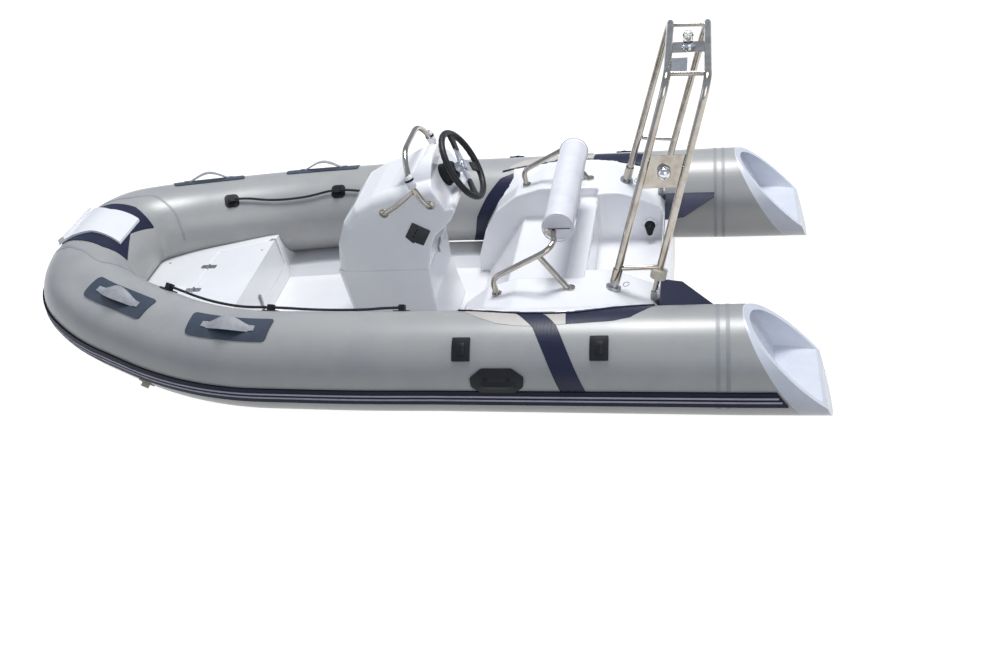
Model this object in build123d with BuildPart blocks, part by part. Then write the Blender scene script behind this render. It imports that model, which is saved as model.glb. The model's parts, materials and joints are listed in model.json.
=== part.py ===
from build123d import *
import math
import os

# Small rigid inflatable boat with a tilting steering console and a folding stern arch.
# Millimetres. +X runs to the bow, +Y to port, +Z up; z = 0 is the waterline, y = 0 the centreline.

fit_gap = 0.3  # between curved faces that rest on each other
run_gap = 5.0  # between a moving panel and what it passes
pin_gap = 0.1  # round a pin in its bore

# Collar tube: a straight tapered run each side, then a swept bow that rises.
tube_radius_aft = 226
tube_radius = 212
tube_half_spacing = 746
tube_height = 235
taper_length = 1240
bow_corners = [  # x, distance inboard of the straight run, height of the axis's corners, aft to fore
    (1590, 0, 235),
    (2290, 40, 226),
    (2855, 289, 293),
    (3063, 467, 340),
]

# Moulded tube ends
end_seam_top = -4
end_seam_run = 250  # how far aft the seam leans from the tube's top to its belly
end_tip = 366
end_corner = (327, 138)  # aft reach and height of the knuckle under the slanted face
end_wall = 25  # round the recess in the slanted face
recess_depth = 108
recess_fold = 0.65  # how far down the slanted face the recess is deepest
end_plug_inset = 14
end_plug_length = 20

# Rubbing strake
strake_top_angle = 0
strake_low_angle = -19.5
strake_thickness = 9
strake_end_gap = 10  # ahead of the moulded ends' seam

# Hull sections: x, keel height, chine half width, chine height, side half width, side height
hull_sections = [
    (330, -155, 520, -5, 700, 48),
    (1700, -155, 520, -5, 700, 48),
    (2350, -138, 470, 0, 640, 40),
    (2750, -75, 330, 40, 480, 100),
    (3040, 60, 60, 150, 160, 175),
]
hull_aft = hull_sections[0][0]

# Deck liner
floor_height = -15
floor_thickness = 18
floor_half_width = tube_half_spacing - tube_radius_aft - 58
ledge_height = 35
ledge_slope = 35  # degrees that the riser leans from upright
floor_front = 2780
floor_front_half_width = 60

# Foredeck and its locker, whose hatch is the top and most of the aft wall in one
locker_foot = 2313
locker_aft = 2340
locker_top = 223
locker_rim = 22
deck_aft_half_width = tube_half_spacing - 186
deck_front = 2900
deck_front_half_width = 235
hatch_front = 2602
hatch_thickness = 12
hatch_aft_half_width = 395
hatch_front_half_width = 262
hatch_corner = 55
wall_seam = 62
wall_thickness = 8
hatch_hinge_offset = 112

# Hinges and toggle latches
hinge_leaf = 38
hinge_width = 30
hinge_plate = 2.5
knuckle_radius = 5
hinge_pin_radius = 3
latch_size = (26, 58, 5)  # width, height and thickness of the latch's base
lever_radius = 5

# Console
console_half_width = 220
console_wall = 8
console_corner = 30
console_crown_corner = 60
seam_height = 372
seam_front = 1816
seam_aft = 1381
console_foot_front = (1748, 1790)  # x at the floor and at waist_height
console_foot_aft = (1330, 1377)
waist_height = 200
console_brow = [(1799, 499), (1755, 609), (1690, 690), (1600, 737), (1509, 765)]  # x, z
console_lip = [(1234, 684), (1222, 668), (1247, 624), (1284, 585), (1328, 548), (1355, 491)]
pod_half_width = 172
pod_shoulder = 140
pod_section_height = 400
pod_outline = [(1560, 700), (1509, 765), (1404, 827), (1372, 862), (1350, 868), (1324, 863)]
wheel_centre = Vector(1210, 0, 788)
wheel_tilt = 28  # degrees that the steering axis rises aft
dash_depth = 100  # along the steering axis from the wheel to the dash
dash_rise = 60
dash_drop = 76
console_hinge_offset = 120
socket_centre = (1405, 561)
socket_size = (94, 86, 4)
socket_turn = 33.8

# Steering wheel
wheel_radius = 158
rim_radius = 14
hub_radius = 34
hub_depth = 18
spoke_width = 34
spoke_turns = (57, 237, 327)  # degrees round the wheel, a T lying askew
spoke_thickness = 9
shaft_radius = 11
bezel_radius = 54
bezel_length = 60

# Grab hoop over the console
rail_radius = 12.5
hoop_half_width = 236
hoop_waist = (1381, 768)
hoop_top = (1432, 925)
hoop_bend = 150
hoop_foot_front = (1545, 668)
hoop_foot_aft = (1330, 701)
sleeve_radius = 19
sleeve_start = 30
sleeve_length = 62
foot_radius = 22
foot_height = 6

# Stern moulding: seat, side wings over the tubes, splash well
wing_front = [(1283, 75), (1238, 215), (1172, 329)]  # x, z of the wings' front edge
wing_deck = [(1065, 410), (935, 448), (560, 446), (521, 437), (355, 371), (332, 335)]
wing_plan = [  # x, distance inboard of the tube's axis
    (1290, 226), (1180, 106), (1106, 74), (975, 46), (867, 28),
    (702, 24), (600, 44), (507, 76), (400, 106), (332, 124),
]
wing_lip = 8
wing_tuck = 130  # how far inboard of the tube's axis the moulding stops under the tube
seat_height = 285
seat_half_width = tube_half_spacing - tube_radius_aft - 95
seat_front = 1030
seat_toe = 1240
seat_back = 745
ridge_aft = 655
ridge_height = 392
well_aft = 340
well_corner = 25
well_half_width = tube_half_spacing - tube_radius_aft - 160
well_floor = 190
boot_centre = (407, 268)
boot_radius = 27
boot_ring_radius = 39
boot_length = 46

# Seat rails and back roll
roll_radius = 70
roll_half_length = 384
roll_centre = (752, 661)
bar_centre = (770, 642)
bar_bend = 16  # past the roll's end, where the rail starts to turn
rail_y = tube_half_spacing - tube_radius_aft
rail_elbow = (752, 645)
rail_knee = (1030, 500)
rail_foot = (1016, 424)
brace_top = (824, 607)
brace_foot = (702, 447)

# Transom
transom_thickness = 34
transom_half_width = tube_half_spacing - 241
transom_top = 335
gusset_thickness = 4
gusset_side = tube_half_spacing - 146
gusset_outline = [(331, gusset_side), (94, gusset_side), (100, 500), (240, 300), (317, 280), (331, 280)]

# Folding arch: both hoops fold aft together about the pins of the aft feet
arch_tube = 16
arch_foot_front = (521, 504, 437)
arch_foot_aft = (355, 484, 392)
arch_corner_front = (280, 354, 1285)
arch_corner_aft = (121, 358, 1279)
arch_bend = 90
arch_knee = (330, 472, 488)  # where the aft leg enters its clamp block
arch_pin_radius = 5
arch_eye_radius = 13
arch_eye_half_width = 8
arch_neck_radius = 5.8
arch_cheek = 5
arch_boss_height = 26
arch_sleeve = 60
clamp_radius = 34
clamp_height = 40
rung_radius = 10
rung_heights = [(1, 520), (-1, 683)]  # side, height of the low rung
top_rung_y = 285
panel_thickness = 3
panel_low = 855
panel_high = 988
ball_radius = 27.5
light_plate_half = 60
aerial_plate_size = (78, 140)
aerial_plate_y = 200
light_radius = 30
light_height = 70

# Fittings on the tube. Angles turn round the tube from outboard (0) to up (90)
pad_thickness = 4
# name, x, angle, pad length, pad width
carry_handles = [("aft", 2137, 72, 400, 125), ("forward", 2708, 73, 370, 125)]
loop_length = 170
loop_width = 34
loop_rise = 34
loop_strap = 6
holder_stations = [2620, 2030, 1420]
holder_angle = 131
holder_radius = 36
holder_block = (26, 30, 30)
rope_radius = 6
rope_lift = 18
rope_sag = 7  # degrees further round the tube that each span hangs
side_grab = (968, 13.3, 220, 98)  # x, angle, length, width
side_fittings = [(1118, 46), (555, 46)]  # x, angle
fitting_size = (82, 100, 40)  # along, round and off the tube
tow_patch = (2530, -36)  # x, angle
bow_pad_plan = [(2905, 0.5), (2867, 165), (2949, 198), (3065, 184), (3185, 150)]
bow_plate_plan = [(2906, 118), (3038, 109), (3146, 151), (3200, 151)]
bow_lip_aft = 3165
bow_plate_rise = 14
bow_plate_thickness = 10

# Bow eye on the stem
bow_eye_centre = (2900, -5)  # x, z
bow_eye_radius = 6
bow_eye_reach = 42

os.makedirs("parts", exist_ok=True)


def corner_radii(points, share=0.45):
    """Radius of the largest tangent arc at each inner corner that leaves part of both runs."""
    points = [Vector(*p) for p in points]
    radii = []
    for before, corner, after in zip(points, points[1:], points[2:]):
        turn = (corner - before).get_angle(after - corner)
        shorter = min((corner - before).length, (after - corner).length)
        radii.append(share * shorter / math.tan(math.radians(turn) / 2))
    return radii


def port_and_starboard(points):
    return points + [(x, -y, z) for x, y, z in reversed(points)]


# The tube's axis from the end of the port taper, round the bow, to the starboard one
axis_points = port_and_starboard(
    [(taper_length, tube_half_spacing, tube_height)]
    + [(x, tube_half_spacing - inboard, z) for x, inboard, z in bow_corners]
)
with BuildLine() as tube_axis:
    FilletPolyline(*axis_points, radius=corner_radii(axis_points, 0.48))
axis_wire = tube_axis.wires()[0]


def tube_body(extra):
    """The whole collar with its radius changed by extra, as one solid."""
    with BuildPart() as body:
        with BuildSketch(Plane.YZ.offset(taper_length)):
            with Locations((tube_half_spacing, tube_height)):
                Circle(tube_radius + extra)
        sweep(path=axis_wire)
        for side in (1, -1):
            axis = Axis((0, side * tube_half_spacing, tube_height), (1, 0, 0))
            with BuildSketch(Plane.XY.offset(tube_height)):
                with BuildLine():
                    Polyline(
                        (-end_tip - 100, side * tube_half_spacing),
                        (-end_tip - 100, side * (tube_half_spacing + tube_radius_aft + extra)),
                        (0, side * (tube_half_spacing + tube_radius_aft + extra)),
                        (taper_length, side * (tube_half_spacing + tube_radius + extra)),
                        (taper_length, side * tube_half_spacing),
                        close=True,
                    )
                make_face()
            revolve(axis=axis)
    return body.part


def tube_station(x):
    """Point on the tube's port axis at station x, its direction and the tube's radius there."""
    if x <= taper_length:
        share = max(x, 0) / taper_length
        radius = tube_radius_aft + (tube_radius - tube_radius_aft) * share
        return Vector(x, tube_half_spacing, tube_height), Vector(1, 0, 0), radius
    low, high = 0.0, 0.5
    for _ in range(30):
        middle = (low + high) / 2
        if axis_wire.position_at(middle).X < x:
            low = middle
        else:
            high = middle
    return axis_wire.position_at(low), axis_wire.tangent_at(low), tube_radius


def on_tube(x, angle, lift=0.0):
    """Plane on the port tube's skin at station x; angle 0 faces outboard and 90 faces up."""
    centre, along, radius = tube_station(x)
    outboard = Vector(-along.Y, along.X, 0).normalized()
    upward = along.cross(outboard) if along.cross(outboard).Z > 0 else outboard.cross(along)
    turn = math.radians(angle)
    normal = outboard * math.cos(turn) + upward * math.sin(turn)
    return Plane(origin=centre + normal * (radius + lift), x_dir=along, z_dir=normal)


tube_space = tube_body(fit_gap)
pad_space = tube_body(fit_gap + pad_thickness)
half_space = tube_half_spacing + 400


def side_slab(points, half_width):
    """A prism over a side view outline given as x, z points, from -half_width to half_width."""
    with BuildPart() as slab:
        with BuildSketch(Plane.XZ):
            with BuildLine():
                Polyline(*points, close=True)
            make_face()
        extrude(amount=half_width, both=True)
    return slab.part


# ---- collar tube and its moulded ends ----
tube_top = tube_height + tube_radius_aft
face_top = (end_seam_top - 3, tube_top)
knuckle = (-end_corner[0], end_corner[1])


def seam_x(z, ahead=0):
    """Where the leaning seam between the tube and its moulded end stands at height z."""
    return end_seam_top - end_seam_run * (tube_top - z) / (tube_top - 45) + ahead


cap_outline = [(end_seam_top, tube_top), (seam_x(0), 0), (-end_tip - 3, 0), knuckle, face_top]
behind_seam = side_slab(
    [(end_seam_top, tube_top), (seam_x(-50), -50), (-900, -50), (-900, 600), (end_seam_top, 600)], half_space,
)
face_down = (Vector(*knuckle) - Vector(*face_top)).normalized()
face_inward = Vector(-face_down.Y, face_down.X)
face_length = (Vector(*knuckle) - Vector(*face_top)).length
fold = Vector(*face_top) + face_down * face_length * recess_fold + face_inward * recess_depth
recess_low = Vector(*knuckle) - face_down * end_wall
recess_outline = [
    (face_top[0] - face_inward.X * 40, face_top[1] - face_inward.Y * 40),
    (face_top[0], face_top[1]),
    (fold.X, fold.Y),
    (recess_low.X, recess_low.Y),
    (recess_low.X - face_inward.X * 40, recess_low.Y - face_inward.Y * 40),
]

with BuildPart() as end_cap_port:
    with BuildSketch(Plane.YZ.offset(-end_tip - 100)):
        with Locations((tube_half_spacing, tube_height)):
            Circle(tube_radius_aft)
    extrude(amount=end_tip + 100)
    add(side_slab(cap_outline, half_space), mode=Mode.INTERSECT)
    with BuildSketch(Plane.YZ.offset(-end_seam_run)):
        with Locations((tube_half_spacing, tube_height)):
            Circle(tube_radius_aft - end_plug_inset)
    extrude(amount=end_seam_run + end_plug_length)
    add(side_slab([face_top, knuckle, (-900, knuckle[1]), (-900, 600), (face_top[0], 600)], half_space),
        mode=Mode.SUBTRACT)
    with BuildPart(mode=Mode.PRIVATE) as recess:
        with BuildSketch(Plane.YZ.offset(-end_tip - 100)):
            with Locations((tube_half_spacing, tube_height)):
                Circle(tube_radius_aft - end_wall)
        extrude(amount=end_tip + 200)
        add(side_slab(recess_outline, half_space), mode=Mode.INTERSECT)
    add(recess.part, mode=Mode.SUBTRACT)

with BuildPart() as collar_tube:
    add(tube_body(0))
    add(behind_seam, mode=Mode.SUBTRACT)
    for side in (1, -1):
        with BuildSketch(Plane.YZ.offset(-end_seam_run - 50)):
            with Locations((side * tube_half_spacing, tube_height)):
                Circle(tube_radius_aft - end_plug_inset + fit_gap)
        extrude(amount=end_seam_run + 50 + end_plug_length, mode=Mode.SUBTRACT)

# ---- rubbing strake ----
def strake_section(plane, radius):
    """Closed outline of the strake round a tube of this radius, port side."""
    angles = [strake_top_angle, (strake_top_angle + strake_low_angle) / 2, strake_low_angle]

    def rim(reach):
        return [
            (
                tube_half_spacing + reach * math.cos(math.radians(a)),
                tube_height + reach * math.sin(math.radians(a)),
            )
            for a in angles
        ]

    inner, outer = rim(radius + fit_gap), rim(radius + fit_gap + strake_thickness)
    with BuildSketch(plane) as section:
        with BuildLine():
            ThreePointArc(*inner)
            Line(inner[2], outer[2])
            ThreePointArc(*reversed(outer))
            Line(outer[0], inner[0])
        make_face()
    return section.sketch


with BuildPart() as strake_taper:
    for x, radius in ((0, tube_radius_aft), (taper_length, tube_radius)):
        with BuildSketch(Plane.YZ.offset(x)):
            add(strake_section(Plane.XY, radius))
    loft(ruled=True)
    with BuildSketch(Plane.YZ):
        add(strake_section(Plane.XY, tube_radius_aft))
    extrude(amount=-end_tip)

with BuildPart() as rubbing_strake:
    add(sweep(strake_section(Plane.YZ.offset(taper_length), tube_radius), path=axis_wire, mode=Mode.PRIVATE))
    add(strake_taper.part)
    mirror(strake_taper.part, about=Plane.XZ)
    add(side_slab(
        [
            (seam_x(tube_top, strake_end_gap), tube_top), (seam_x(0, strake_end_gap), 0),
            (-end_tip - 50, 0), (-end_tip - 50, tube_top),
        ],
        half_space,
    ), mode=Mode.SUBTRACT)

# ---- hull, deck liner, transom ----
def mirrored(outline):
    """A plan outline given down its port side, closed by its starboard side."""
    return outline + [(x, -y) for x, y in reversed(outline)]


def plan_prism(outline, low, high):
    """A prism between two heights over a plan outline given down its port side."""
    with BuildPart() as prism:
        with BuildSketch(Plane.XY.offset(low)):
            with BuildLine():
                Polyline(*mirrored(outline), close=True)
            make_face()
        extrude(amount=high - low)
    return prism.part


with BuildPart() as hull_form:
    for x, keel, chine_y, chine_z, side_y, side_z in hull_sections:
        with BuildSketch(Plane.YZ.offset(x)):
            with BuildLine():
                Polyline(
                    (0, keel), (chine_y, chine_z), (side_y, side_z),
                    (-side_y, side_z), (-chine_y, chine_z), close=True,
                )
            make_face()
    loft(ruled=True)

bow_end = hull_sections[-1][0]
liner_low = floor_height - floor_thickness
whole_plan = [(hull_aft - 100, half_space), (bow_end + 100, half_space)]

with BuildPart() as under_flange:
    add(plan_prism(whole_plan, floor_height, ledge_height))
    add(hull_form.part, mode=Mode.SUBTRACT)

with BuildPart() as cockpit_void:
    with BuildSketch(Plane.XY.offset(floor_height)):
        with BuildLine():
            Polyline(
                *mirrored([
                    (hull_aft - 100, floor_half_width), (1500, floor_half_width),
                    (locker_aft, floor_half_width - 62), (floor_front, floor_front_half_width),
                ]),
                close=True,
            )
        make_face()
    extrude(amount=ledge_height - floor_height + 60, taper=-ledge_slope)

with BuildPart() as deck_liner:
    add(hull_form.part)
    add(tube_space, mode=Mode.SUBTRACT)
    add(plan_prism(whole_plan, liner_low, ledge_height), mode=Mode.INTERSECT)
    add(cockpit_void.part, mode=Mode.SUBTRACT)

with BuildPart() as hull:
    add(hull_form.part)
    add(tube_space, mode=Mode.SUBTRACT)
    add(plan_prism(whole_plan, liner_low, locker_top), mode=Mode.SUBTRACT)

with BuildPart() as transom:
    with BuildSketch(Plane.YZ.offset(hull_aft - transom_thickness)):
        with BuildLine():
            Polyline(
                (0, -150), (505, 0), (transom_half_width + 60, 40), (transom_half_width + 60, transom_top),
                (-transom_half_width - 60, transom_top), (-transom_half_width - 60, 40), (-505, 0), close=True,
            )
        make_face()
    extrude(amount=transom_thickness)
    add(tube_space, mode=Mode.SUBTRACT)

# ---- foredeck, locker hatch ----
def wall_x(z, inset=0):
    """Where the locker's leaning aft wall stands at height z."""
    return locker_foot + (locker_aft - locker_foot) * (z - floor_height) / (locker_top - floor_height) + inset


hatch_seat = locker_top - hatch_thickness - fit_gap
locker_inside = [
    (locker_foot, hatch_aft_half_width - locker_rim),
    (hatch_front - locker_rim, hatch_front_half_width - locker_rim),
]
hatch_plan = [(locker_foot - 10, hatch_aft_half_width), (hatch_front, hatch_front_half_width)]
hatch_room = [
    (locker_foot - 10, hatch_aft_half_width + run_gap),
    (hatch_front + run_gap, hatch_front_half_width + run_gap),
]

with BuildPart() as foredeck:
    add(hull_form.part)
    add(plan_prism(
        [(locker_foot, deck_aft_half_width), (deck_front, deck_front_half_width)], ledge_height, locker_top,
    ))
    add(plan_prism([(locker_foot, half_space), (bow_end + 50, half_space)], ledge_height, locker_top),
        mode=Mode.INTERSECT)
    add(plan_prism([(locker_foot, deck_aft_half_width), (locker_foot + 60, deck_aft_half_width)],
                   floor_height, ledge_height))
    add(side_slab(
        [(wall_x(floor_height), floor_height), (wall_x(locker_top), locker_top),
         (3200, locker_top), (3200, floor_height)],
        half_space,
    ), mode=Mode.INTERSECT)
    add(tube_space, mode=Mode.SUBTRACT)
    add(under_flange.part, mode=Mode.SUBTRACT)
    add(deck_liner.part, mode=Mode.SUBTRACT)
    add(hull.part, mode=Mode.SUBTRACT)
    with BuildPart(mode=Mode.PRIVATE) as locker_space:
        add(plan_prism(locker_inside, floor_height, locker_top))
        add(side_slab(
            [
                (wall_x(floor_height, wall_thickness), floor_height),
                (wall_x(locker_top, wall_thickness), locker_top), (3200, locker_top), (3200, floor_height),
            ],
            half_space,
        ), mode=Mode.INTERSECT)
    add(locker_space.part, mode=Mode.SUBTRACT)
    add(plan_prism(hatch_room, hatch_seat, locker_top), mode=Mode.SUBTRACT)
    add(plan_prism(
        [(locker_foot - 10, hatch_aft_half_width + run_gap), (locker_foot + 60, hatch_aft_half_width + run_gap)],
        wall_seam, locker_top,
    ), mode=Mode.SUBTRACT)

with BuildPart() as locker_hatch:
    add(side_slab(
        [
            (wall_x(wall_seam + fit_gap), wall_seam + fit_gap),
            (wall_x(locker_top), locker_top),
            (hatch_front, locker_top),
            (hatch_front, locker_top - hatch_thickness),
            (wall_x(locker_top - hatch_thickness, wall_thickness), locker_top - hatch_thickness),
            (wall_x(wall_seam + fit_gap, wall_thickness), wall_seam + fit_gap),
        ],
        half_space,
    ))
    add(plan_prism(hatch_plan, floor_height, locker_top), mode=Mode.INTERSECT)
    fillet(locker_hatch.edges().filter_by(Axis.Z).group_by(Axis.X)[-1], radius=hatch_corner)


# ---- hinges and latches ----
def hinge_half(plane, pinned):
    """One leaf of a hinge. The plane stands on the axis, x away from it and z off the face."""
    gap = 0.5
    third = hinge_width / 3
    middle = third / 2
    outer = [(-hinge_width / 2, -middle - gap), (middle + gap, hinge_width / 2)]
    spans = [(-middle, middle)] if pinned else outer
    with BuildPart() as half:
        with BuildSketch(plane.offset(-knuckle_radius)):
            with Locations(((hinge_leaf + knuckle_radius + 1) / 2, 0)):
                RectangleRounded(hinge_leaf - knuckle_radius - 1, hinge_width, 3)
        extrude(amount=hinge_plate)
        for low, high in spans:
            with BuildSketch(plane.offset(-knuckle_radius)):
                with Locations(((knuckle_radius + 3) / 2, (low + high) / 2)):
                    Rectangle(knuckle_radius + 3, high - low)
            extrude(amount=hinge_plate)
            across = Plane(origin=plane.origin + plane.y_dir * low, x_dir=plane.x_dir, z_dir=plane.y_dir)
            with BuildSketch(across):
                Circle(knuckle_radius)
            extrude(amount=high - low)
        end = Plane(origin=plane.origin - plane.y_dir * hinge_width / 2, x_dir=plane.x_dir, z_dir=plane.y_dir)
        with BuildSketch(end):
            Circle(hinge_pin_radius if pinned else hinge_pin_radius + pin_gap)
        extrude(amount=hinge_width, mode=Mode.ADD if pinned else Mode.SUBTRACT)
    return half.part


def hinges(axis_point, away, normal, offset, pinned):
    """A pair of hinge leaves at plus and minus offset along Y."""
    with BuildPart() as pair:
        for side in (1, -1):
            origin = Vector(axis_point[0], side * offset, axis_point[1])
            add(hinge_half(Plane(origin=origin, x_dir=away, z_dir=normal), pinned))
    return pair.part


def latch(plane, hook_plane):
    """A toggle latch: base and lever on the plane, y pointing away from the seam, and a hook over the seam."""
    width, height, thickness = latch_size
    with BuildPart() as toggle:
        with BuildSketch(plane):
            with Locations((0, height / 2)):
                RectangleRounded(width, height, 5)
        extrude(amount=thickness)
        with BuildSketch(plane.offset(thickness)):
            with Locations((0, height / 2 + 6)):
                RectangleRounded(width * 0.6, height - 14, 3)
        extrude(amount=lever_radius)
        with BuildSketch(hook_plane.offset(thickness)):
            with Locations((0, -6)):
                Rectangle(width * 0.35, 28)
        extrude(amount=2)
    return toggle.part


def keeper(plane):
    """The catch below the seam that a latch's hook goes over."""
    width, height, thickness = latch_size
    with BuildPart() as catch:
        with BuildSketch(plane):
            with Locations((0, -14)):
                RectangleRounded(width, 20, 4)
        extrude(amount=thickness - fit_gap)
        with BuildSketch(plane.offset(thickness - fit_gap)):
            with Locations((0, -22.5)):
                Rectangle(width * 0.5, 3)
        extrude(amount=4)
    return catch.part


hatch_axis = (hatch_front + run_gap / 2, locker_top + knuckle_radius)
with BuildPart() as hatch_hinge_leaves:
    add(hinges(hatch_axis, (-1, 0, 0), (0, 0, 1), hatch_hinge_offset, False))
with BuildPart() as deck_hinge_leaves:
    add(hinges(hatch_axis, (1, 0, 0), (0, 0, 1), hatch_hinge_offset, True))

wall_up = Vector(locker_aft - locker_foot, 0, locker_top - floor_height).normalized()
wall_out = Vector(-wall_up.Z, 0, wall_up.X)
locker_latch_plane = Plane(
    origin=Vector(wall_x(wall_seam), 0, wall_seam), x_dir=wall_up.cross(wall_out), z_dir=wall_out,
)
with BuildPart() as locker_latch:
    add(latch(locker_latch_plane, locker_latch_plane))
with BuildPart() as locker_keeper:
    add(keeper(locker_latch_plane))

# ---- console ----
tilt = math.radians(wheel_tilt)
steering_axis = Vector(-math.cos(tilt), 0, math.sin(tilt))
wheel_plane = Plane(origin=wheel_centre, x_dir=(0, -1, 0), z_dir=steering_axis)


def dash_point(rise):
    """x, z of a point on the dash, measured up its slope from the steering axis."""
    foot = wheel_centre - steering_axis * dash_depth
    return foot.X + rise * math.sin(tilt), foot.Z + rise * math.cos(tilt)


base_outline = [
    (console_foot_aft[0], floor_height), (console_foot_aft[1], waist_height), (seam_aft, seam_height),
    (seam_front, seam_height), (console_foot_front[1], waist_height), (console_foot_front[0], floor_height),
]


def eased_slab(outline, rounded, half_width, inset, corner):
    """A prism over a side view outline drawn in by inset, its edges along the rounded points eased."""
    with BuildPart() as slab:
        with BuildSketch(Plane.XZ):
            with BuildLine():
                Polyline(*outline, close=True)
            make_face()
            if inset:
                offset(amount=-inset, kind=Kind.INTERSECTION)
        extrude(amount=half_width - inset, both=True)
        middles = [((ax + bx) / 2, (az + bz) / 2) for (ax, az), (bx, bz) in zip(rounded, rounded[1:])]
        rims = slab.edges().filter_by(Axis.Y, reverse=True)
        eased = []
        for x, z in middles:
            nearest = rims.sort_by(lambda edge: abs(edge.center().X - x) + abs(edge.center().Z - z))
            eased.extend(nearest[:2])
        fillet(eased, radius=corner - inset)
    return slab.part


def side_shell(outline, rounded, half_width, wall, corner):
    """A hollow body over a side view outline, its edges along the rounded points eased."""
    with BuildPart() as body:
        add(eased_slab(outline, rounded, half_width, 0, corner))
        add(eased_slab(outline, rounded, half_width, wall, corner), mode=Mode.SUBTRACT)
    return body.part


seam_front_top = (seam_front, seam_height + fit_gap)
seam_aft_top = (seam_aft, seam_height + fit_gap)
below_seam = seam_height - console_wall
above_seam = seam_height + fit_gap + console_wall
rim_inside = console_half_width - console_wall * 3

with BuildPart() as console_base:
    add(side_shell(base_outline, base_outline[3:], console_half_width, console_wall, console_corner))
    with Locations(((seam_front + seam_aft) / 2, 0, seam_height)):
        Box(seam_front - seam_aft - 10 * console_wall, rim_inside * 2, console_wall * 3, mode=Mode.SUBTRACT)

pod_sill = dash_point(dash_rise)
pod_crest = max(z for x, z in pod_outline)
console_crown = [seam_front_top] + console_brow + [pod_sill]
top_outline = console_crown + [dash_point(-dash_drop)] + console_lip + [seam_aft_top]

with BuildPart() as console_top:
    add(side_shell(top_outline, console_crown, console_half_width, console_wall, console_crown_corner))
    with BuildPart(mode=Mode.PRIVATE) as pod:
        with BuildSketch(Plane.YZ.offset(pod_sill[0] - 60)):
            with Locations((0, pod_crest - pod_section_height / 2)):
                RectangleRounded(pod_half_width * 2, pod_section_height, pod_shoulder)
        extrude(amount=pod_outline[0][0] - pod_sill[0] + 60)
        add(side_slab(pod_outline + [pod_sill, (pod_sill[0], console_brow[2][1] + 20)], pod_half_width),
            mode=Mode.INTERSECT)
    add(pod.part)
    with BuildPart(mode=Mode.PRIVATE) as pod_inside:
        with BuildSketch(Plane.YZ.offset(pod_sill[0] + 20)):
            with Locations((0, pod_crest - console_wall - pod_section_height / 2)):
                RectangleRounded(
                    (pod_half_width - console_wall) * 2, pod_section_height, pod_shoulder - console_wall,
                )
        extrude(amount=120)
        add(side_slab(
            [(pod_sill[0] + 14, 640), (pod_sill[0] + 36, 780), (1372, 850), (1396, 815), (1430, 780),
             (1430, 640)],
            pod_half_width,
        ), mode=Mode.INTERSECT)
    add(pod_inside.part, mode=Mode.SUBTRACT)
    with Locations(((seam_front + seam_aft) / 2, 0, seam_height)):
        Box(seam_front - seam_aft - 10 * console_wall, rim_inside * 2, console_wall * 3, mode=Mode.SUBTRACT)

tilt_axis = (seam_front + knuckle_radius + fit_gap, seam_height)
base_down = Vector(console_foot_front[1] - seam_front, 0, waist_height - seam_height).normalized()
top_up = Vector(console_brow[0][0] - seam_front, 0, console_brow[0][1] - seam_height).normalized()
with BuildPart() as console_hinge_base:
    add(hinges(tilt_axis, base_down, (-base_down.Z, 0, base_down.X), console_hinge_offset, True))
with BuildPart() as console_hinge_top:
    add(hinges(tilt_axis, top_up, (top_up.Z, 0, -top_up.X), console_hinge_offset, False))



def seam_face(toward):
    """Plane on the console's aft face at the seam, its y along the face to the point given."""
    upward = Vector(toward[0] - seam_aft, 0, toward[1] - seam_height).normalized()
    upward = upward if upward.Z > 0 else -upward
    outward = Vector(-upward.Z, 0, upward.X)
    return Plane(origin=(seam_aft, 0, seam_height), x_dir=upward.cross(outward), z_dir=outward)


base_face = seam_face((console_foot_aft[1], waist_height))
with BuildPart() as console_latch:
    add(latch(seam_face(console_lip[-1]), base_face))
with BuildPart() as console_keeper:
    add(keeper(base_face))

with BuildPart() as socket_panel:
    panel_origin = (socket_centre[0], console_half_width, socket_centre[1])
    with BuildSketch(Plane(origin=panel_origin, x_dir=(-1, 0, 0), z_dir=(0, 1, 0))):
        RectangleRounded(socket_size[0], socket_size[1], 5, rotation=-socket_turn)
    extrude(amount=socket_size[2])

# ---- steering wheel ----
with BuildPart() as steering_wheel:
    rim_centre = wheel_centre + wheel_plane.x_dir * wheel_radius
    with BuildSketch(Plane(origin=rim_centre, x_dir=wheel_plane.x_dir, z_dir=wheel_plane.y_dir)):
        Circle(rim_radius)
    revolve(axis=Axis(wheel_centre, steering_axis))
    with BuildSketch(wheel_plane.offset(-spoke_thickness / 2)):
        for turn in spoke_turns:
            with PolarLocations(wheel_radius / 2, 1, start_angle=turn):
                Rectangle(wheel_radius, spoke_width)
    extrude(amount=spoke_thickness)
    with BuildSketch(wheel_plane.offset(-hub_depth)):
        Circle(hub_radius + fit_gap)
    extrude(amount=hub_depth * 3, mode=Mode.SUBTRACT)

with BuildPart() as wheel_hub:
    with BuildSketch(wheel_plane.offset(-hub_depth)):
        Circle(hub_radius)
    extrude(amount=hub_depth * 1.6)
    with BuildSketch(wheel_plane.offset(-dash_depth + bezel_length - 20)):
        Circle(shaft_radius)
    extrude(amount=dash_depth - bezel_length + 20)

with BuildPart() as helm_bezel:
    with BuildSketch(wheel_plane.offset(-dash_depth + fit_gap)):
        Circle(bezel_radius)
    extrude(amount=bezel_length, taper=8)
    with BuildSketch(wheel_plane.offset(-dash_depth + bezel_length - 25)):
        Circle(shaft_radius + pin_gap)
    extrude(amount=60, mode=Mode.SUBTRACT)

# ---- grab hoop over the console ----
def tube_along(points, radius, radii):
    """A round bar along straight runs joined by arcs."""
    with BuildPart() as bar:
        with BuildLine() as route:
            FilletPolyline(*points, radius=radii)
        wire = route.wires()[0]
        with BuildSketch(Plane(origin=wire.position_at(0), z_dir=wire.tangent_at(0))):
            Circle(radius)
        sweep(path=wire)
    return bar.part


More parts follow.
